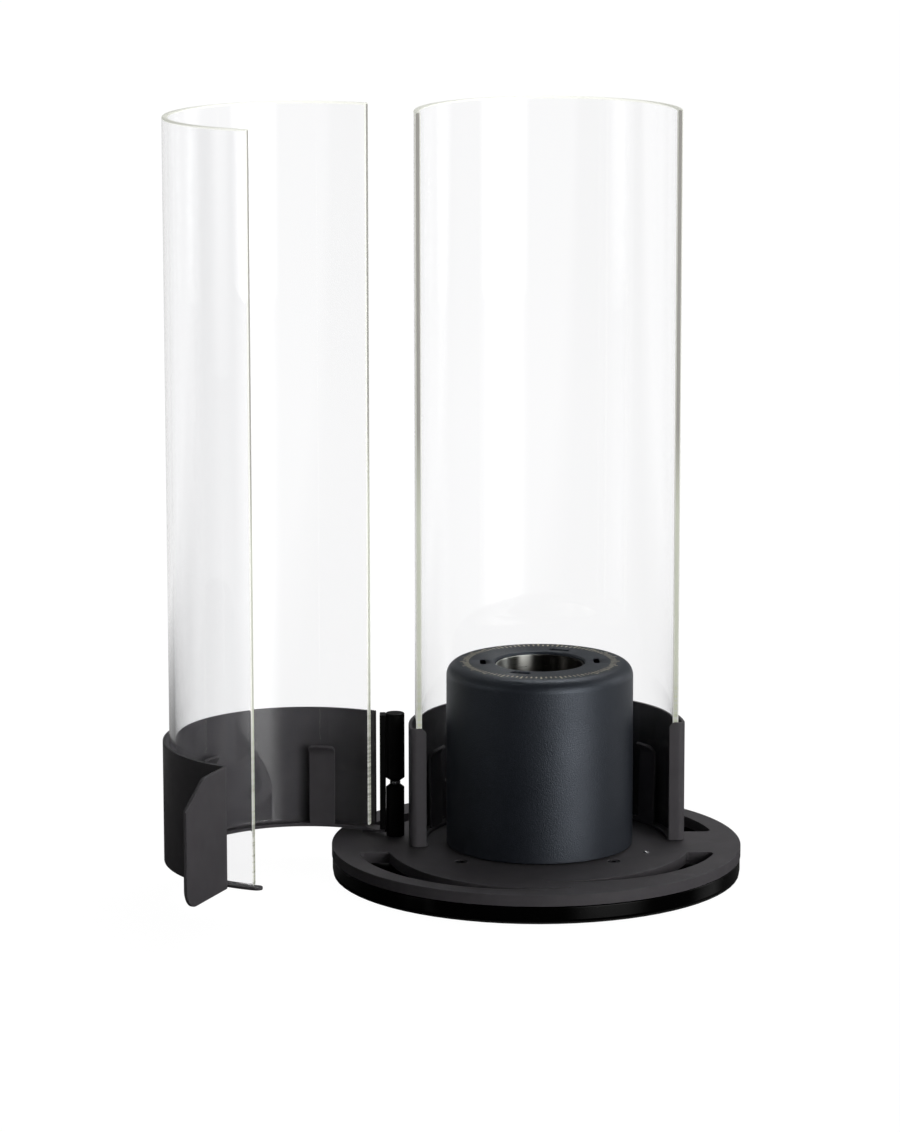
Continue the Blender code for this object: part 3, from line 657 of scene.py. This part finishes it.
def lamp_through(look, tint):
    """Let shadow rays pass, tinted."""
    lamp_ray = look.node("ShaderNodeBsdfTransparent", Color=(*tint, 1.0))
    path = look.node("ShaderNodeLightPath")
    mix = look.node("ShaderNodeMixShader")
    look.link(path.outputs["Is Shadow Ray"], mix.inputs["Fac"])
    look.link(look.shader.outputs["BSDF"], mix.inputs[1])
    look.link(lamp_ray.outputs["BSDF"], mix.inputs[2])
    look.link(mix.outputs["Shader"], look.output.inputs["Surface"])


def ground_edge(name, tone, low_tone, glow):
    """A frosted ground glass edge whose colour also glows, a painted glow for light piped along the glass.
    Low down it is painted brighter and greener, with painted dashes of refraction.
    """
    look = Look(name, tone, 0.35)
    look.set("Transmission Weight", 0.50)
    look.set("IOR", 1.473)
    # Painted glow: the edge's colour also drives its emission.
    look.set("Emission Strength", glow)
    height = split_axes(look.tree, look.place)["Z"]
    # Painted light: low down the edge is painted brighter and greener, and lowest down it carries painted
    # dashes of refraction.
    lower = look.ramp(height, 1.0, 0.0, 0.165, 0.205)
    painted_dash_band = look.ramp(height, 1.0, 0.0, 0.045, 0.100)
    painted_refraction_dashes = look.ramp(look.noise(900.0, 2.0, 0.5, (0.05, 0.05, 1.0)), 0.0, 1.0, 0.42, 0.60)
    shade = look.blend(lower, tone, low_tone)
    shade = look.blend(look.product(painted_dash_band, painted_refraction_dashes), shade, scaled(low_tone, 0.55))
    look.colour(shade)
    look.link(shade, look.shader.inputs["Emission Color"])
    look.bump(look.noise(2600.0, 3.0), 0.00003)
    lamp_through(look, (0.7, 0.72, 0.68))
    return look


LOOKS = make_looks()


def wear(thing, slot):
    """Give a piece the material of one of the record's slots."""
    if thing.data.materials:  # even on an empty list, clear() resets every face's index
        thing.data.materials.clear()
    thing.data.materials.append(LOOKS[slot].material)


def place_piece(thing, body, slot, node):
    """Finish a piece: it wears a material, rides a body and hides the CAD node it stands in for."""
    wear(thing, slot)
    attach(thing, body)
    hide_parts(node)
    return thing


def piece(name, mesh, body, slot, node, sharp=50.0):
    """A finished piece made from a mesh."""
    return place_piece(shaded(name, mesh, sharp), body, slot, node)


def turned_piece(name, profile, steps, closed, place, body, slot, node):
    """A finished piece turned about an upright axis."""
    piece(name, turned(name, profile, steps, closed, place), body, slot, node)


# Base

def slot_edge(shape, outside, steps=40):
    """One long side of an air slot. The width falls off from the web to the tip."""
    outer_start = shape["outer"] if "outer" in shape else shape["inner"] + shape["width"]
    start = math.asin(WEB_HALF_WIDTH / (outer_start if outside else outer_start - shape["width"]))
    points = []
    for way in spread(0.0, 1.0, steps):
        width = shape["width"] * (1 - way ** 2) ** 2 + SLOT_TIP_WIDTH * way
        if "outer" in shape:
            far = shape["outer"] + shape["swell"] * math.sin(math.pi * way) + shape["drift"] * way ** 3
            near = far - width
        else:
            near = shape["inner"] + shape["drift"] * way ** 3
            far = near + width
        angle = start + (shape["end"] - start) * way
        points.append(Vector((math.cos(angle), math.sin(angle))) * (far if outside else near))
    return points


def slot_outline(turn, mirror, shape):
    """One air slot, turned and mirrored to its place, with its corners rounded."""
    inside = slot_edge(shape, False)
    outside = slot_edge(shape, True)
    ends = inside[:1] + outside[:1] + outside[2:3] + inside[2:3]
    wide_end = soften(ends, (0.0009, 0.0026, 0.0, 0.0), 6)[:-2]
    outline = wide_end + outside[2:] + inside[:1:-1]
    spin = Matrix.Rotation(turn, 2)
    return [spin @ Vector((point[0], point[1] * mirror)) for point in outline]


def circle(radius, steps, centre=ORIGIN):
    """A round outline."""
    return [polar(radius, angle, centre) for angle in spread(0.0, 2 * math.pi, steps)[:-1]]


def make_base():
    """The slotted plate, the gloss pan, the pad, the screws and the stud."""
    outlines = [circle(BASE_RADIUS, 240)]
    for turn, mirror, shape in ((math.pi, 1, OUTER_SLOT), (0.0, -1, INNER_SLOT),
                                (0.0, 1, OUTER_SLOT), (math.pi, -1, INNER_SLOT)):
        outlines.append(slot_outline(turn, mirror, shape))
    screws = [f"plate_screw_{index}" for index in range(1, 5)]
    for name in screws:
        low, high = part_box(name)
        outlines.append(circle((high.x - low.x) / 2 + SCREW_GAP, 28, (low + high) / 2))
    stud = (STUD_LOW + STUD_HIGH) / 2
    radius = (STUD_HIGH.x - STUD_LOW.x) / 2
    outlines.append(circle(radius + STUD_GAP, 20, stud))
    mesh = flat_plate("base_top_plate", outlines, PLATE_LOW.z, PLATE_TOP, SLOT_EDGE)
    piece("base_top_plate", mesh, "base", "anthracite_coat", "base_plate")

    outside, rim = PAN_HIGH.x, PAN_HIGH.z
    floor = PAN_LOW.z + PAN_FLOOR
    inside = outside - PAN_WALL
    profile = soften(
        [(0.0, floor), (inside, floor), (inside, rim), (outside, rim), (outside, PAN_LOW.z),
         (0.0, PAN_LOW.z)],
        (0.0, 0.0010, 0.0003, 0.0005, 0.0011, 0.0), 4)
    turned_piece("base_lower_pan", profile, 200, False, ORIGIN, "base", "gloss_black", "base_pan")

    wear(frame["nodes"]["anti_slip_pad"], "black_rubber")
    for name in screws:
        make_screw(name)
    rise = STUD_HIGH.z - PLATE_TOP
    dome = [(radius * math.cos(a), PLATE_TOP + rise * math.sin(a)) for a in spread(math.pi / 2, 0.0, 8)]
    profile = [(0.0, dome[0][1]), *dome[1:], (radius, STUD_LOW.z), (0.0, STUD_LOW.z)]
    place = Vector((stud.x, stud.y, 0.0))
    turned_piece("door_rest_stud", profile, 32, False, place, "base", "zinc_steel", "door_stud")


def make_screw(node):
    """A small socket screw, sunk just below the plate's face."""
    low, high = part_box(node)
    place = Vector(((low.x + high.x) / 2, (low.y + high.y) / 2, 0.0))
    head, top = (high.x - low.x) / 2, high.z
    shank = head * 0.55
    outline = soften(
        [(0.0, top), (head, top), (head, top - 0.0008), (shank, top - 0.0020), (shank, low.z), (0.0, low.z)],
        (0.0, 0.0004, 0.0002, 0.0, 0.0002, 0.0), 3)
    name = node.removeprefix("plate_")
    thing = shaded(name, turned(name, outline, 36, place=place))
    work = bmesh.new()
    bmesh.ops.create_cone(work, cap_ends=True, segments=6, radius1=0.0012, radius2=0.0013, depth=0.003)
    bmesh.ops.translate(work, verts=work.verts, vec=place + UP * (top + 0.003 / 2 - SOCKET_DEPTH))
    cut(thing, to_mesh("socket", work))
    place_piece(thing, "base", "blackened_screw", node)


# Glass holders

def tab_loops(angle, centre, bottom):
    """A spring tab: it bends up from the flange, leans on the glass and flares inward at its tip."""
    out = polar(1.0, angle)
    side = UP.cross(out)
    foot = FLANGE_RADIUS + TAB_SHEET / 2 + 0.00005
    low = SHEET / 2 + FLANGE_LIFT
    path = [(foot + TAB_BEND + 0.0012, low)]
    for turn in spread(0.0, math.pi / 2, 4):
        path.append((foot + TAB_BEND * (1 - math.sin(turn)), low + TAB_BEND * (1 - math.cos(turn))))
    for height, lean in TAB_LEAN:
        path.append((foot + lean, TAB_RISE * height))
    total = sum(math.dist(a, b) for a, b in zip(path, path[1:]))
    gone = 0.0
    dense = []
    for first, second in zip(path, path[1:]):
        length = math.dist(first, second)
        steps = max(1, round(length / TIP_STEP)) if total - gone < TIP_LENGTH else 1
        for step in range(steps):
            way = step / steps
            dense.append((first[0] + (second[0] - first[0]) * way, first[1] + (second[1] - first[1]) * way,
                          gone + length * way))
        gone += length
    dense.append((*path[-1], total))
    stations = []
    for index, (radius, height, walked) in enumerate(dense):
        before = dense[max(index - 1, 0)]
        after = dense[min(index + 1, len(dense) - 1)]
        along = (out * (after[0] - before[0]) + UP * (after[1] - before[1])).normalized()
        normal = along.cross(side).normalized()
        left = total - walked
        half = TAB_WIDTH / 2
        if left < TAB_CORNER:
            half -= TAB_CORNER - math.sqrt(max(TAB_CORNER ** 2 - (TAB_CORNER - left) ** 2, 0.0))
        middle = centre + out * radius + UP * (bottom + height)
        stations.append((middle, side, normal, -half, half))
    return band_loops(stations, TAB_SHEET / 2, SHEET_EDGE)


def skin_holder(work, stations, flange, tabs, centre, bottom):
    """The bent sheet that both glass holders share: a wall, a flange and spring tabs."""
    for band in (stations, flange):
        skin(work, band_loops(band, SHEET / 2, SHEET_EDGE))
    for degrees in tabs:
        skin(work, tab_loops(math.radians(degrees), centre, bottom))


def make_fixed_holder():
    """The holder at the back, whose two ends fold inward over the glass's ends."""
    bottom, top = FIXED_LOW.z, FIXED_HIGH.z
    sides = []
    for end, away in ((FIXED_START, 1), (FIXED_END, -1)):
        edge = end + away * SHEET / 2 / WALL_MIDDLE
        bend_centre = polar(WALL_MIDDLE - BEND_RADIUS, edge + away * BEND_RADIUS / WALL_MIDDLE, FIXED_CENTRE)
        bend_start = polar(BEND_RADIUS, edge - away * math.pi / 2, bend_centre)
        tip = polar(LIP_REACH, edge, FIXED_CENTRE)
        side, side_tops = [], []
        for angle in spread(0.0, math.pi / 2, 7):
            run = LIP_CORNER * (1 - math.cos(angle))
            side.append(tip + (bend_start - tip).normalized() * run)
            side_tops.append(top - LIP_CORNER * (1 - math.sin(angle)))
        for turn in spread(0.0, math.pi / 2, 6):
            side.append(polar(BEND_RADIUS, edge - away * math.pi / 2 + away * turn, bend_centre))
            side_tops.append(top)
        sides.append((side, side_tops, edge + away * BEND_RADIUS / WALL_MIDDLE))
    (first, first_tops, start), (last, last_tops, end) = sides
    wall = [polar(WALL_MIDDLE, angle, FIXED_CENTRE) for angle in spread(start, end, 110)[1:-1]]
    path = first + wall + last[::-1]
    tops = first_tops + [top] * len(wall) + last_tops[::-1]
    stations = plan_stations(path, [bottom] * len(path), tops)
    angles = spread(FIXED_START + FLANGE_INSET, FIXED_END - FLANGE_INSET, 96)
    flange = ring_stations(FLANGE_RADIUS, WALL_MIDDLE, angles, FIXED_CENTRE, bottom + FLANGE_LIFT + SHEET / 2)
    work = bmesh.new()
    skin_holder(work, stations, flange, FIXED_TABS, FIXED_CENTRE, bottom)
    mesh = to_mesh("fixed_glass_holder", work)
    piece("fixed_glass_holder", mesh, "base", "anthracite_coat", "fixed_bracket")


def make_door_holder():
    """The door's holder. Its wall folds outward into the handle. A runner and a hinge arm join its flange."""
    bottom, top = DOOR_LOW.z, DOOR_HIGH.z
    path = [polar(WALL_MIDDLE, angle, DOOR_CENTRE) for angle in spread(DOOR_START, DOOR_FOLD, 104)]
    fold = path[-1]
    outward = polar(1.0, HANDLE_TURN)
    path += [fold + Vector((0.00025, 0.00055, 0.0)), fold + Vector((0.0008, 0.00095, 0.0))]
    elbow = fold + Vector((0.0018, 0.0011, 0.0))
    lows, highs = [bottom] * len(path), [top] * len(path)
    chamfer_start = HANDLE_REACH - HANDLE_CHAMFER_RUN
    runs = spread(0.0, chamfer_start - 0.0012, 3) + spread(chamfer_start - 0.0006, chamfer_start + 0.0030, 6)
    runs += spread(chamfer_start + 0.0060, HANDLE_REACH - HANDLE_CORNER, 3)
    runs += [HANDLE_REACH - HANDLE_CORNER * (1 - math.sin(angle))
             for angle in spread(0.0, math.pi / 2, 12)[1:]]
    slope = HANDLE_CHAMFER_DROP / HANDLE_CHAMFER_RUN
    for run in runs:
        path.append(elbow + outward * run)
        beyond = run - chamfer_start
        if beyond < -CHAMFER_EASE:
            drop = 0.0
        elif beyond < CHAMFER_EASE:
            drop = slope * (beyond + CHAMFER_EASE) ** 2 / (4 * CHAMFER_EASE)
        else:
            drop = slope * beyond
        highs.append(top - drop)
        inside = run - (HANDLE_REACH - HANDLE_CORNER)
        rise = HANDLE_CORNER - math.sqrt(max(HANDLE_CORNER ** 2 - max(inside, 0.0) ** 2, 0.0))
        lows.append(bottom + rise)
    stations = plan_stations(path, lows, highs)
    middle = bottom + FLANGE_LIFT + SHEET / 2
    flange = ring_stations(FLANGE_RADIUS, WALL_MIDDLE, spread(DOOR_START, DOOR_FOLD, 96), DOOR_CENTRE, middle)
    runner = band_loops(runner_stations(middle), SHEET / 2 - 0.0001, SHEET_EDGE)
    work = reopened(flat_plate("arm", [arm_outline()], bottom + 0.0003, bottom + SHEET, SHEET_EDGE))
    skin_holder(work, stations, flange, DOOR_TABS, DOOR_CENTRE, bottom)
    skin(work, runner)
    mesh = to_mesh("door_glass_holder", work, TO_OPEN)
    piece("door_glass_holder", mesh, "door", "anthracite_coat", "door_bracket")


def runner_stations(height):
    """The runner under the glass's free end, with its nose rounded in plan."""
    half = (RUNNER_OUTER - RUNNER_INNER) / 2
    angles = spread(RUNNER_START, RUNNER_END, 10)
    stations = ring_stations(RUNNER_INNER, RUNNER_OUTER, angles, DOOR_CENTRE, height)
    place, across, normal = stations[-1][:3]
    forward = UP.cross(across)
    for angle in spread(0.0, math.pi / 2, 8)[1:]:
        width = max(half * math.cos(angle), 0.0008)
        stations.append((place + forward * half * math.sin(angle), across, normal, -width, width))
    return stations


def arm_outline():
    """The flat arm that joins the holder's flange to the hinge leaf, around the hinge post."""
    outer = LEAF_INSIDE + LEAF_THICKNESS
    far = LEAF_NEAR + LEAF_WIDTH
    turn = Matrix.Rotation(DOOR_OPEN, 2)
    hinge = HINGE.to_2d()
    corners = [hinge + turn @ Vector(corner) for corner in
               ((-LEAF_INSIDE, far), (-LEAF_INSIDE, LEAF_NEAR), (-outer, LEAF_NEAR))]
    corners += [Vector((DOOR_CENTRE.x - FLANGE_RADIUS - 0.0003, ARM_NEAR)),
                Vector((DOOR_CENTRE.x - WALL_MIDDLE, ARM_NEAR))]
    return corners


# Glasses

def make_glass(name, node, start, end, centre, place, body):
    """One arc of clear tube. Its long edges are ground and its rims are melted round."""
    low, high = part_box(node)
    path = [polar(GLASS_RADIUS - GLASS_WALL / 2, angle, centre) for angle in spread(start, end, 150)]
    stations = plan_stations(path, [low.z] * len(path), [high.z] * len(path))
    loops = band_loops(stations, GLASS_WALL / 2, RIM_ROUND, GLASS_EDGE)
    work = bmesh.new()
    caps = skin(work, loops)
    work.faces.ensure_lookup_table()
    count, rows = len(loops), len(loops[0])
    # The caps wear the edge material, and the ends and the top rim wear the rim material. Both carry painted
    # glow.
    for ring in range(count - 1):
        at_end = ring < 3 or ring > count - 5
        for index in range(rows):
            if at_end or index in TOP_RIM_FACES:
                work.faces[ring * rows + index].material_index = 2
    for face in caps:
        face.material_index = 1
    thing = piece(name, to_mesh(name, work, place), body, "clear_glass", node, 60.0)
    thing.data.materials.append(LOOKS["glass_edge"].material)
    thing.data.materials.append(LOOKS["glass_rim"].material)


def make_glasses():
    """The fixed glass and the door's glass."""
    make_glass("fixed_glass_pane", "fixed_glass", FIXED_START + FIXED_INSET, FIXED_END - FIXED_INSET,
               FIXED_CENTRE, None, "fixed_pane")
    make_glass("door_glass_pane", "door_glass", DOOR_GLASS_START, DOOR_GLASS_END, DOOR_CENTRE, TO_OPEN,
               "door_pane")


# Hinge

def make_hinge():
    """The post on the plate, the pin and the washer."""
    post = soften(
        [(BORE_RADIUS, POST_HIGH.z), (NOTCH_RADIUS, POST_HIGH.z), (POST_RADIUS, POST_HIGH.z - NOTCH_RISE),
         (POST_RADIUS, POST_LOW.z), (BORE_RADIUS, POST_LOW.z)],
        (0.0, 0.0002, 0.0004, 0.0002, 0.0), 3)
    turned_piece("hinge_lower_post", post, 64, True, HINGE, "base", "hinge_black", "hinge_post")
    radius = (PIN_HIGH.x - PIN_LOW.x) / 2
    pin = soften([(0.0, PIN_HIGH.z), (radius, PIN_HIGH.z), (radius, PIN_LOW.z), (0.0, PIN_LOW.z)],
                 (0.0, 0.0005, 0.0003, 0.0), 3)
    turned_piece("hinge_long_pin", pin, 40, False, HINGE, "base", "zinc_steel", "hinge_pin")
    ring = soften(
        [(BORE_RADIUS, WASHER_HIGH.z), (NOTCH_RADIUS, WASHER_HIGH.z), (NOTCH_RADIUS, WASHER_LOW.z),
         (BORE_RADIUS, WASHER_LOW.z)], (0.0, 0.00015, 0.00015, 0.0), 3)
    turned_piece("hinge_spacer", ring, 48, True, HINGE, "base", "zinc_steel", "hinge_washer")


def make_knuckle():
    """The door's hinge knuckle, welded to its leaf."""
    top, bottom, bore_top = KNUCKLE_HIGH.z, KNUCKLE_BOTTOM, PIN_HIGH.z + 0.0003
    knuckle = soften(
        [(0.0, top), (KNUCKLE_RADIUS, top), (KNUCKLE_RADIUS, bottom + NOTCH_RISE), (NOTCH_RADIUS, bottom),
         (BORE_RADIUS, bottom), (BORE_RADIUS, bore_top), (0.0, bore_top)],
        (0.0, 0.0005, 0.0004, 0.0002, 0.0, 0.0, 0.0), 4)
    work = reopened(turned("knuckle", knuckle, 64, False, HINGE))
    turn = Matrix.Rotation(DOOR_OPEN, 3, 'Z')
    across = turn @ Vector((0.0, 1.0, 0.0))
    normal = turn @ Vector((1.0, 0.0, 0.0))
    leaf_foot = HINGE - normal * (LEAF_INSIDE - LEAF_SNUG + LEAF_THICKNESS) / 2 - normal * LEAF_INSIDE / 2
    leaf = [(leaf_foot + UP * height, across, normal, LEAF_NEAR, LEAF_NEAR + LEAF_WIDTH)
            for height in (KNUCKLE_LOW.z, KNUCKLE_LOW.z + 0.01, top - 0.0006)]
    skin(work, band_loops(leaf, (LEAF_THICKNESS + LEAF_SNUG) / 2, 0.0004))
    weld_foot = HINGE - normal * (KNUCKLE_RADIUS + 0.0001)
    weld = [(weld_foot + UP * height, across, normal, -WELD_HALF_WIDTH, WELD_HALF_WIDTH)
            for height in (bottom + NOTCH_RISE, bottom + 0.01, top - 0.0007)]
    skin(work, band_loops(weld, 0.0009, 0.0003))
    mesh = to_mesh("hinge_upper_knuckle", work, TO_OPEN)
    piece("hinge_upper_knuckle", mesh, "door", "hinge_black", "hinge_knuckle")


# Burner can

def make_can():
    """The burner can: its coated shell, its steel cup, its wool and the closing disc from the CAD."""
    place = Vector((CAN_CENTRE.x, 0.0, 0.0))
    make_shell(place)
    make_cup(place)
    wear(frame["nodes"]["can_base"], "slate_coat")
    make_wool(place)


def make_shell(place):
    """The coated shell, with its rounded shoulder and key slots."""
    top, bottom, mouth = CAN_HIGH.z, CAN_LOW.z, MOUTH_RADIUS
    inside, under, lip = CAN_RADIUS - CAN_SHEET, top - CAN_SHEET, top - MOUTH_LIP
    profile = soften(
        [(mouth, lip), (mouth, top), (CAN_RADIUS, top), (CAN_RADIUS, bottom),
         (inside, bottom), (inside, under), (mouth + CAN_SHEET, under), (mouth + CAN_SHEET, lip)],
        (0.0002, 0.0010, SHOULDER_RADIUS, 0.0004, 0.0, SHOULDER_RADIUS - CAN_SHEET, 0.0, 0.0002), 10)
    shell = shaded("can_coated_shell", turned("can_coated_shell", profile, 180, True, place))
    corners = [(-0.0014, -0.0050), (0.0014, -0.0050), (0.0014, 0.0050), (-0.0014, 0.0050)]
    outline = soften(corners, (0.00132,) * 4, 5)
    for degrees in KEY_SLOTS:
        mesh = flat_plate("key", [outline], top - 0.003, top + 0.002, 0.00001, 0)
        spin = Matrix.Rotation(math.radians(degrees), 4, 'Z')
        mesh.transform(Matrix.Translation(place) @ spin @ Matrix.Translation((KEY_SLOT_RADIUS, 0.0, 0.0)))
        cut(shell, mesh)
    place_piece(shell, "burner_can", "slate_coat", "can_shell")


def make_cup(place):
    """The drawn steel cup, whose neck lines the mouth."""
    rim, floor, sheet = CUP_HIGH.z, CUP_LOW.z, CUP_SHEET
    inside, neck_inside = CUP_RADIUS - sheet, NECK_RADIUS - sheet
    cup = soften(
        [(0.0, floor + sheet), (inside, floor + sheet), (inside, CUP_SHOULDER - sheet),
         (neck_inside, NECK_FOOT - sheet), (neck_inside, rim), (NECK_RADIUS, rim),
         (NECK_RADIUS, NECK_FOOT), (CUP_RADIUS, CUP_SHOULDER), (CUP_RADIUS, floor), (0.0, floor)],
        (0.0, 0.002, 0.002, 0.001, 0.0003, 0.0003, 0.001, 0.002, 0.002, 0.0), 4)
    turned_piece("burner_steel_cup", cup, 120, False, place, "burner_can", "stainless_steel", "burner_cup")


def make_wool(place):
    """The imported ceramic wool, with a tufted top."""
    radius = (WOOL_HIGH.x - WOOL_LOW.x) / 2
    top = WOOL_HIGH.z - 0.0006
    profile = [(0.0, top), *((radius * way, top) for way in spread(0.05, 0.95, 18))]
    profile += [(radius, WOOL_HIGH.z - 0.0018), (radius, WOOL_LOW.z), (0.0, WOOL_LOW.z)]
    mesh = turned("wool_packing", profile, 96, False, place)
    for vertex in mesh.vertices:
        offset = vertex.co - place
        if vertex.co.z > WOOL_HIGH.z - 0.001:
            tufts = math.sin(offset.x * 610.0 + 1.3) * math.sin(offset.y * 540.0)
            tufts += math.sin(offset.x * 1370.0 - offset.y * 990.0)
            vertex.co.z += TUFT_HEIGHT * tufts
    piece("wool_packing", mesh, "burner_can", "ceramic_wool", "ceramic_wool", 80.0)


# Studio

def make_floor():
    """A large pale studio sheet that is overlit where the camera looks at it.

    In the object's own reflections it is dark, with a glow behind and at the near right."""
    mesh = bpy.data.meshes.new("floor")
    work = bmesh.new()
    bmesh.ops.create_grid(work, x_segments=1, y_segments=1, size=FLOOR_SIZE)
    work.to_mesh(mesh)
    work.free()
    floor = add_object("floor", mesh)
    look = Look("studio_floor", (0.04, 0.04, 0.04), 0.22)
    far = look.node("ShaderNodeVectorMath", operation='LENGTH')
    look.link(look.place, far.inputs[0])
    glow = look.node("ShaderNodeEmission")
    look.link(look.ramp(far.outputs["Value"], 0.985, OVERLIT, 0.25, 1.2), glow.inputs["Strength"])
    cloth = look.node("ShaderNodeBsdfDiffuse", Color=(0.07, 0.07, 0.07, 1.0))
    sheet = look.node("ShaderNodeAddShader")
    look.link(glow.outputs[0], sheet.inputs[0])
    look.link(cloth.outputs[0], sheet.inputs[1])
    look.set("Emission Color", (1.0, 1.0, 1.0, 1.0))
    glows = []
    for turn, level, start, end in FLOOR_GLOWS:
        along = look.node("ShaderNodeVectorMath", operation='DOT_PRODUCT')
        along.inputs[1].default_value = polar(1.0, math.radians(turn - 90.0))
        look.link(look.place, along.inputs[0])
        glows.append(look.ramp(along.outputs["Value"], 0.0, level, start, end))
    look.link(math_node(look.tree, 'MAXIMUM', *glows), look.shader.inputs["Emission Strength"])
    mix = look.node("ShaderNodeMixShader")
    look.link(seen_by_camera(look.tree), mix.inputs["Fac"])
    look.link(look.shader.outputs["BSDF"], mix.inputs[1])
    look.link(sheet.outputs[0], mix.inputs[2])
    look.link(mix.outputs["Shader"], look.output.inputs["Surface"])
    mesh.materials.append(look.material)


def seen_by_camera(tree):
    """One where the camera looks, straight or through glass, and zero in reflections and bounced light."""
    path = add_node(tree, "ShaderNodeLightPath").outputs
    seen = math_node(tree, 'MAXIMUM', path["Is Camera Ray"], path["Is Transmission Ray"])
    bounces = math_node(tree, 'ADD', path["Diffuse Depth"], path["Glossy Depth"])
    return math_node(tree, 'MULTIPLY', seen, math_node(tree, 'LESS_THAN', bounces, 0.5))


def make_world():
    """White behind the object where the camera looks past the floor, and a dim studio elsewhere."""
    world = bpy.data.worlds.new("studio")
    bpy.context.scene.world = world
    world.use_nodes = True
    tree = world.node_tree
    back = tree.nodes["Background"].inputs
    place = add_node(tree, "ShaderNodeTexCoord")
    behind = add_node(tree, "ShaderNodeMapRange", From_Min=0.1, From_Max=0.7, To_Min=STUDIO_DARK,
                      To_Max=BACKDROP)
    tree.links.new(split_axes(tree, place.outputs["Generated"])["Y"], behind.inputs["Value"])
    level = add_node(tree, "ShaderNodeMapRange", To_Max=OVERLIT)
    tree.links.new(seen_by_camera(tree), level.inputs["Value"])
    tree.links.new(behind.outputs["Result"], level.inputs["To Min"])
    back["Color"].default_value = (1.0, 1.0, 1.0, 1.0)
    tree.links.new(level.outputs["Result"], back["Strength"])


def lamp(name, place, target, width, height, power):
    """A softbox aimed at a point. It fades out towards its edges."""
    data = bpy.data.lights.new(name, 'AREA')
    data.shape = 'RECTANGLE'
    data.size = width
    data.size_y = height
    data.energy = power / (1 - SOFT_EDGE) ** 2
    data.use_nodes = True
    tree = data.node_tree
    spot = add_node(tree, "ShaderNodeNewGeometry")
    axes = split_axes(tree, spot.outputs["Parametric"])
    fades = []
    for axis in ("X", "Y"):
        fade = add_node(tree, "ShaderNodeMapRange", interpolation_type='SMOOTHSTEP', From_Max=SOFT_EDGE)
        tree.links.new(math_node(tree, 'PINGPONG', axes[axis], 0.5), fade.inputs["Value"])
        fades.append(fade.outputs["Result"])
    tree.links.new(math_node(tree, 'MULTIPLY', *fades), tree.nodes["Emission"].inputs["Strength"])
    thing = add_object(name, data)
    thing.location = place
    thing.rotation_euler = (target - place).to_track_quat('-Z', 'Y').to_euler()


def make_camera():
    """The camera, with its long side across the picture's height."""
    data = bpy.data.cameras.new("camera")
    data.sensor_width = 36.0
    data.lens = CAMERA_LENS
    data.clip_start = 0.05
    data.clip_end = 100.0
    camera = add_object("camera", data)
    pitch, yaw, roll = 0.19967, 0.00149, -0.00138
    aim = Matrix.Rotation(-yaw, 4, 'Z') @ Matrix.Rotation(math.pi / 2 - pitch, 4, 'X')
    camera.matrix_world = Matrix.Translation(CAMERA_PLACE) @ aim @ Matrix.Rotation(roll, 4, 'Z')
    bpy.context.scene.camera = camera


def make_studio():
    """Floor, soft light and camera."""
    make_floor()
    make_world()
    middle = Vector((0.0, 0.0, 0.08))
    for name, turn, rise, away, width, height, power in STUDIO_LAMPS:
        climb = math.radians(rise)
        aim = polar(math.cos(climb), math.radians(turn - 90.0), height=math.sin(climb))
        lamp(name, middle + aim * away, middle, width, height, power)
    make_camera()
    bpy.context.scene.view_settings.view_transform = 'Standard'


make_base()
make_fixed_holder()
make_door_holder()
make_glasses()
make_hinge()
make_knuckle()
make_can()
make_studio()
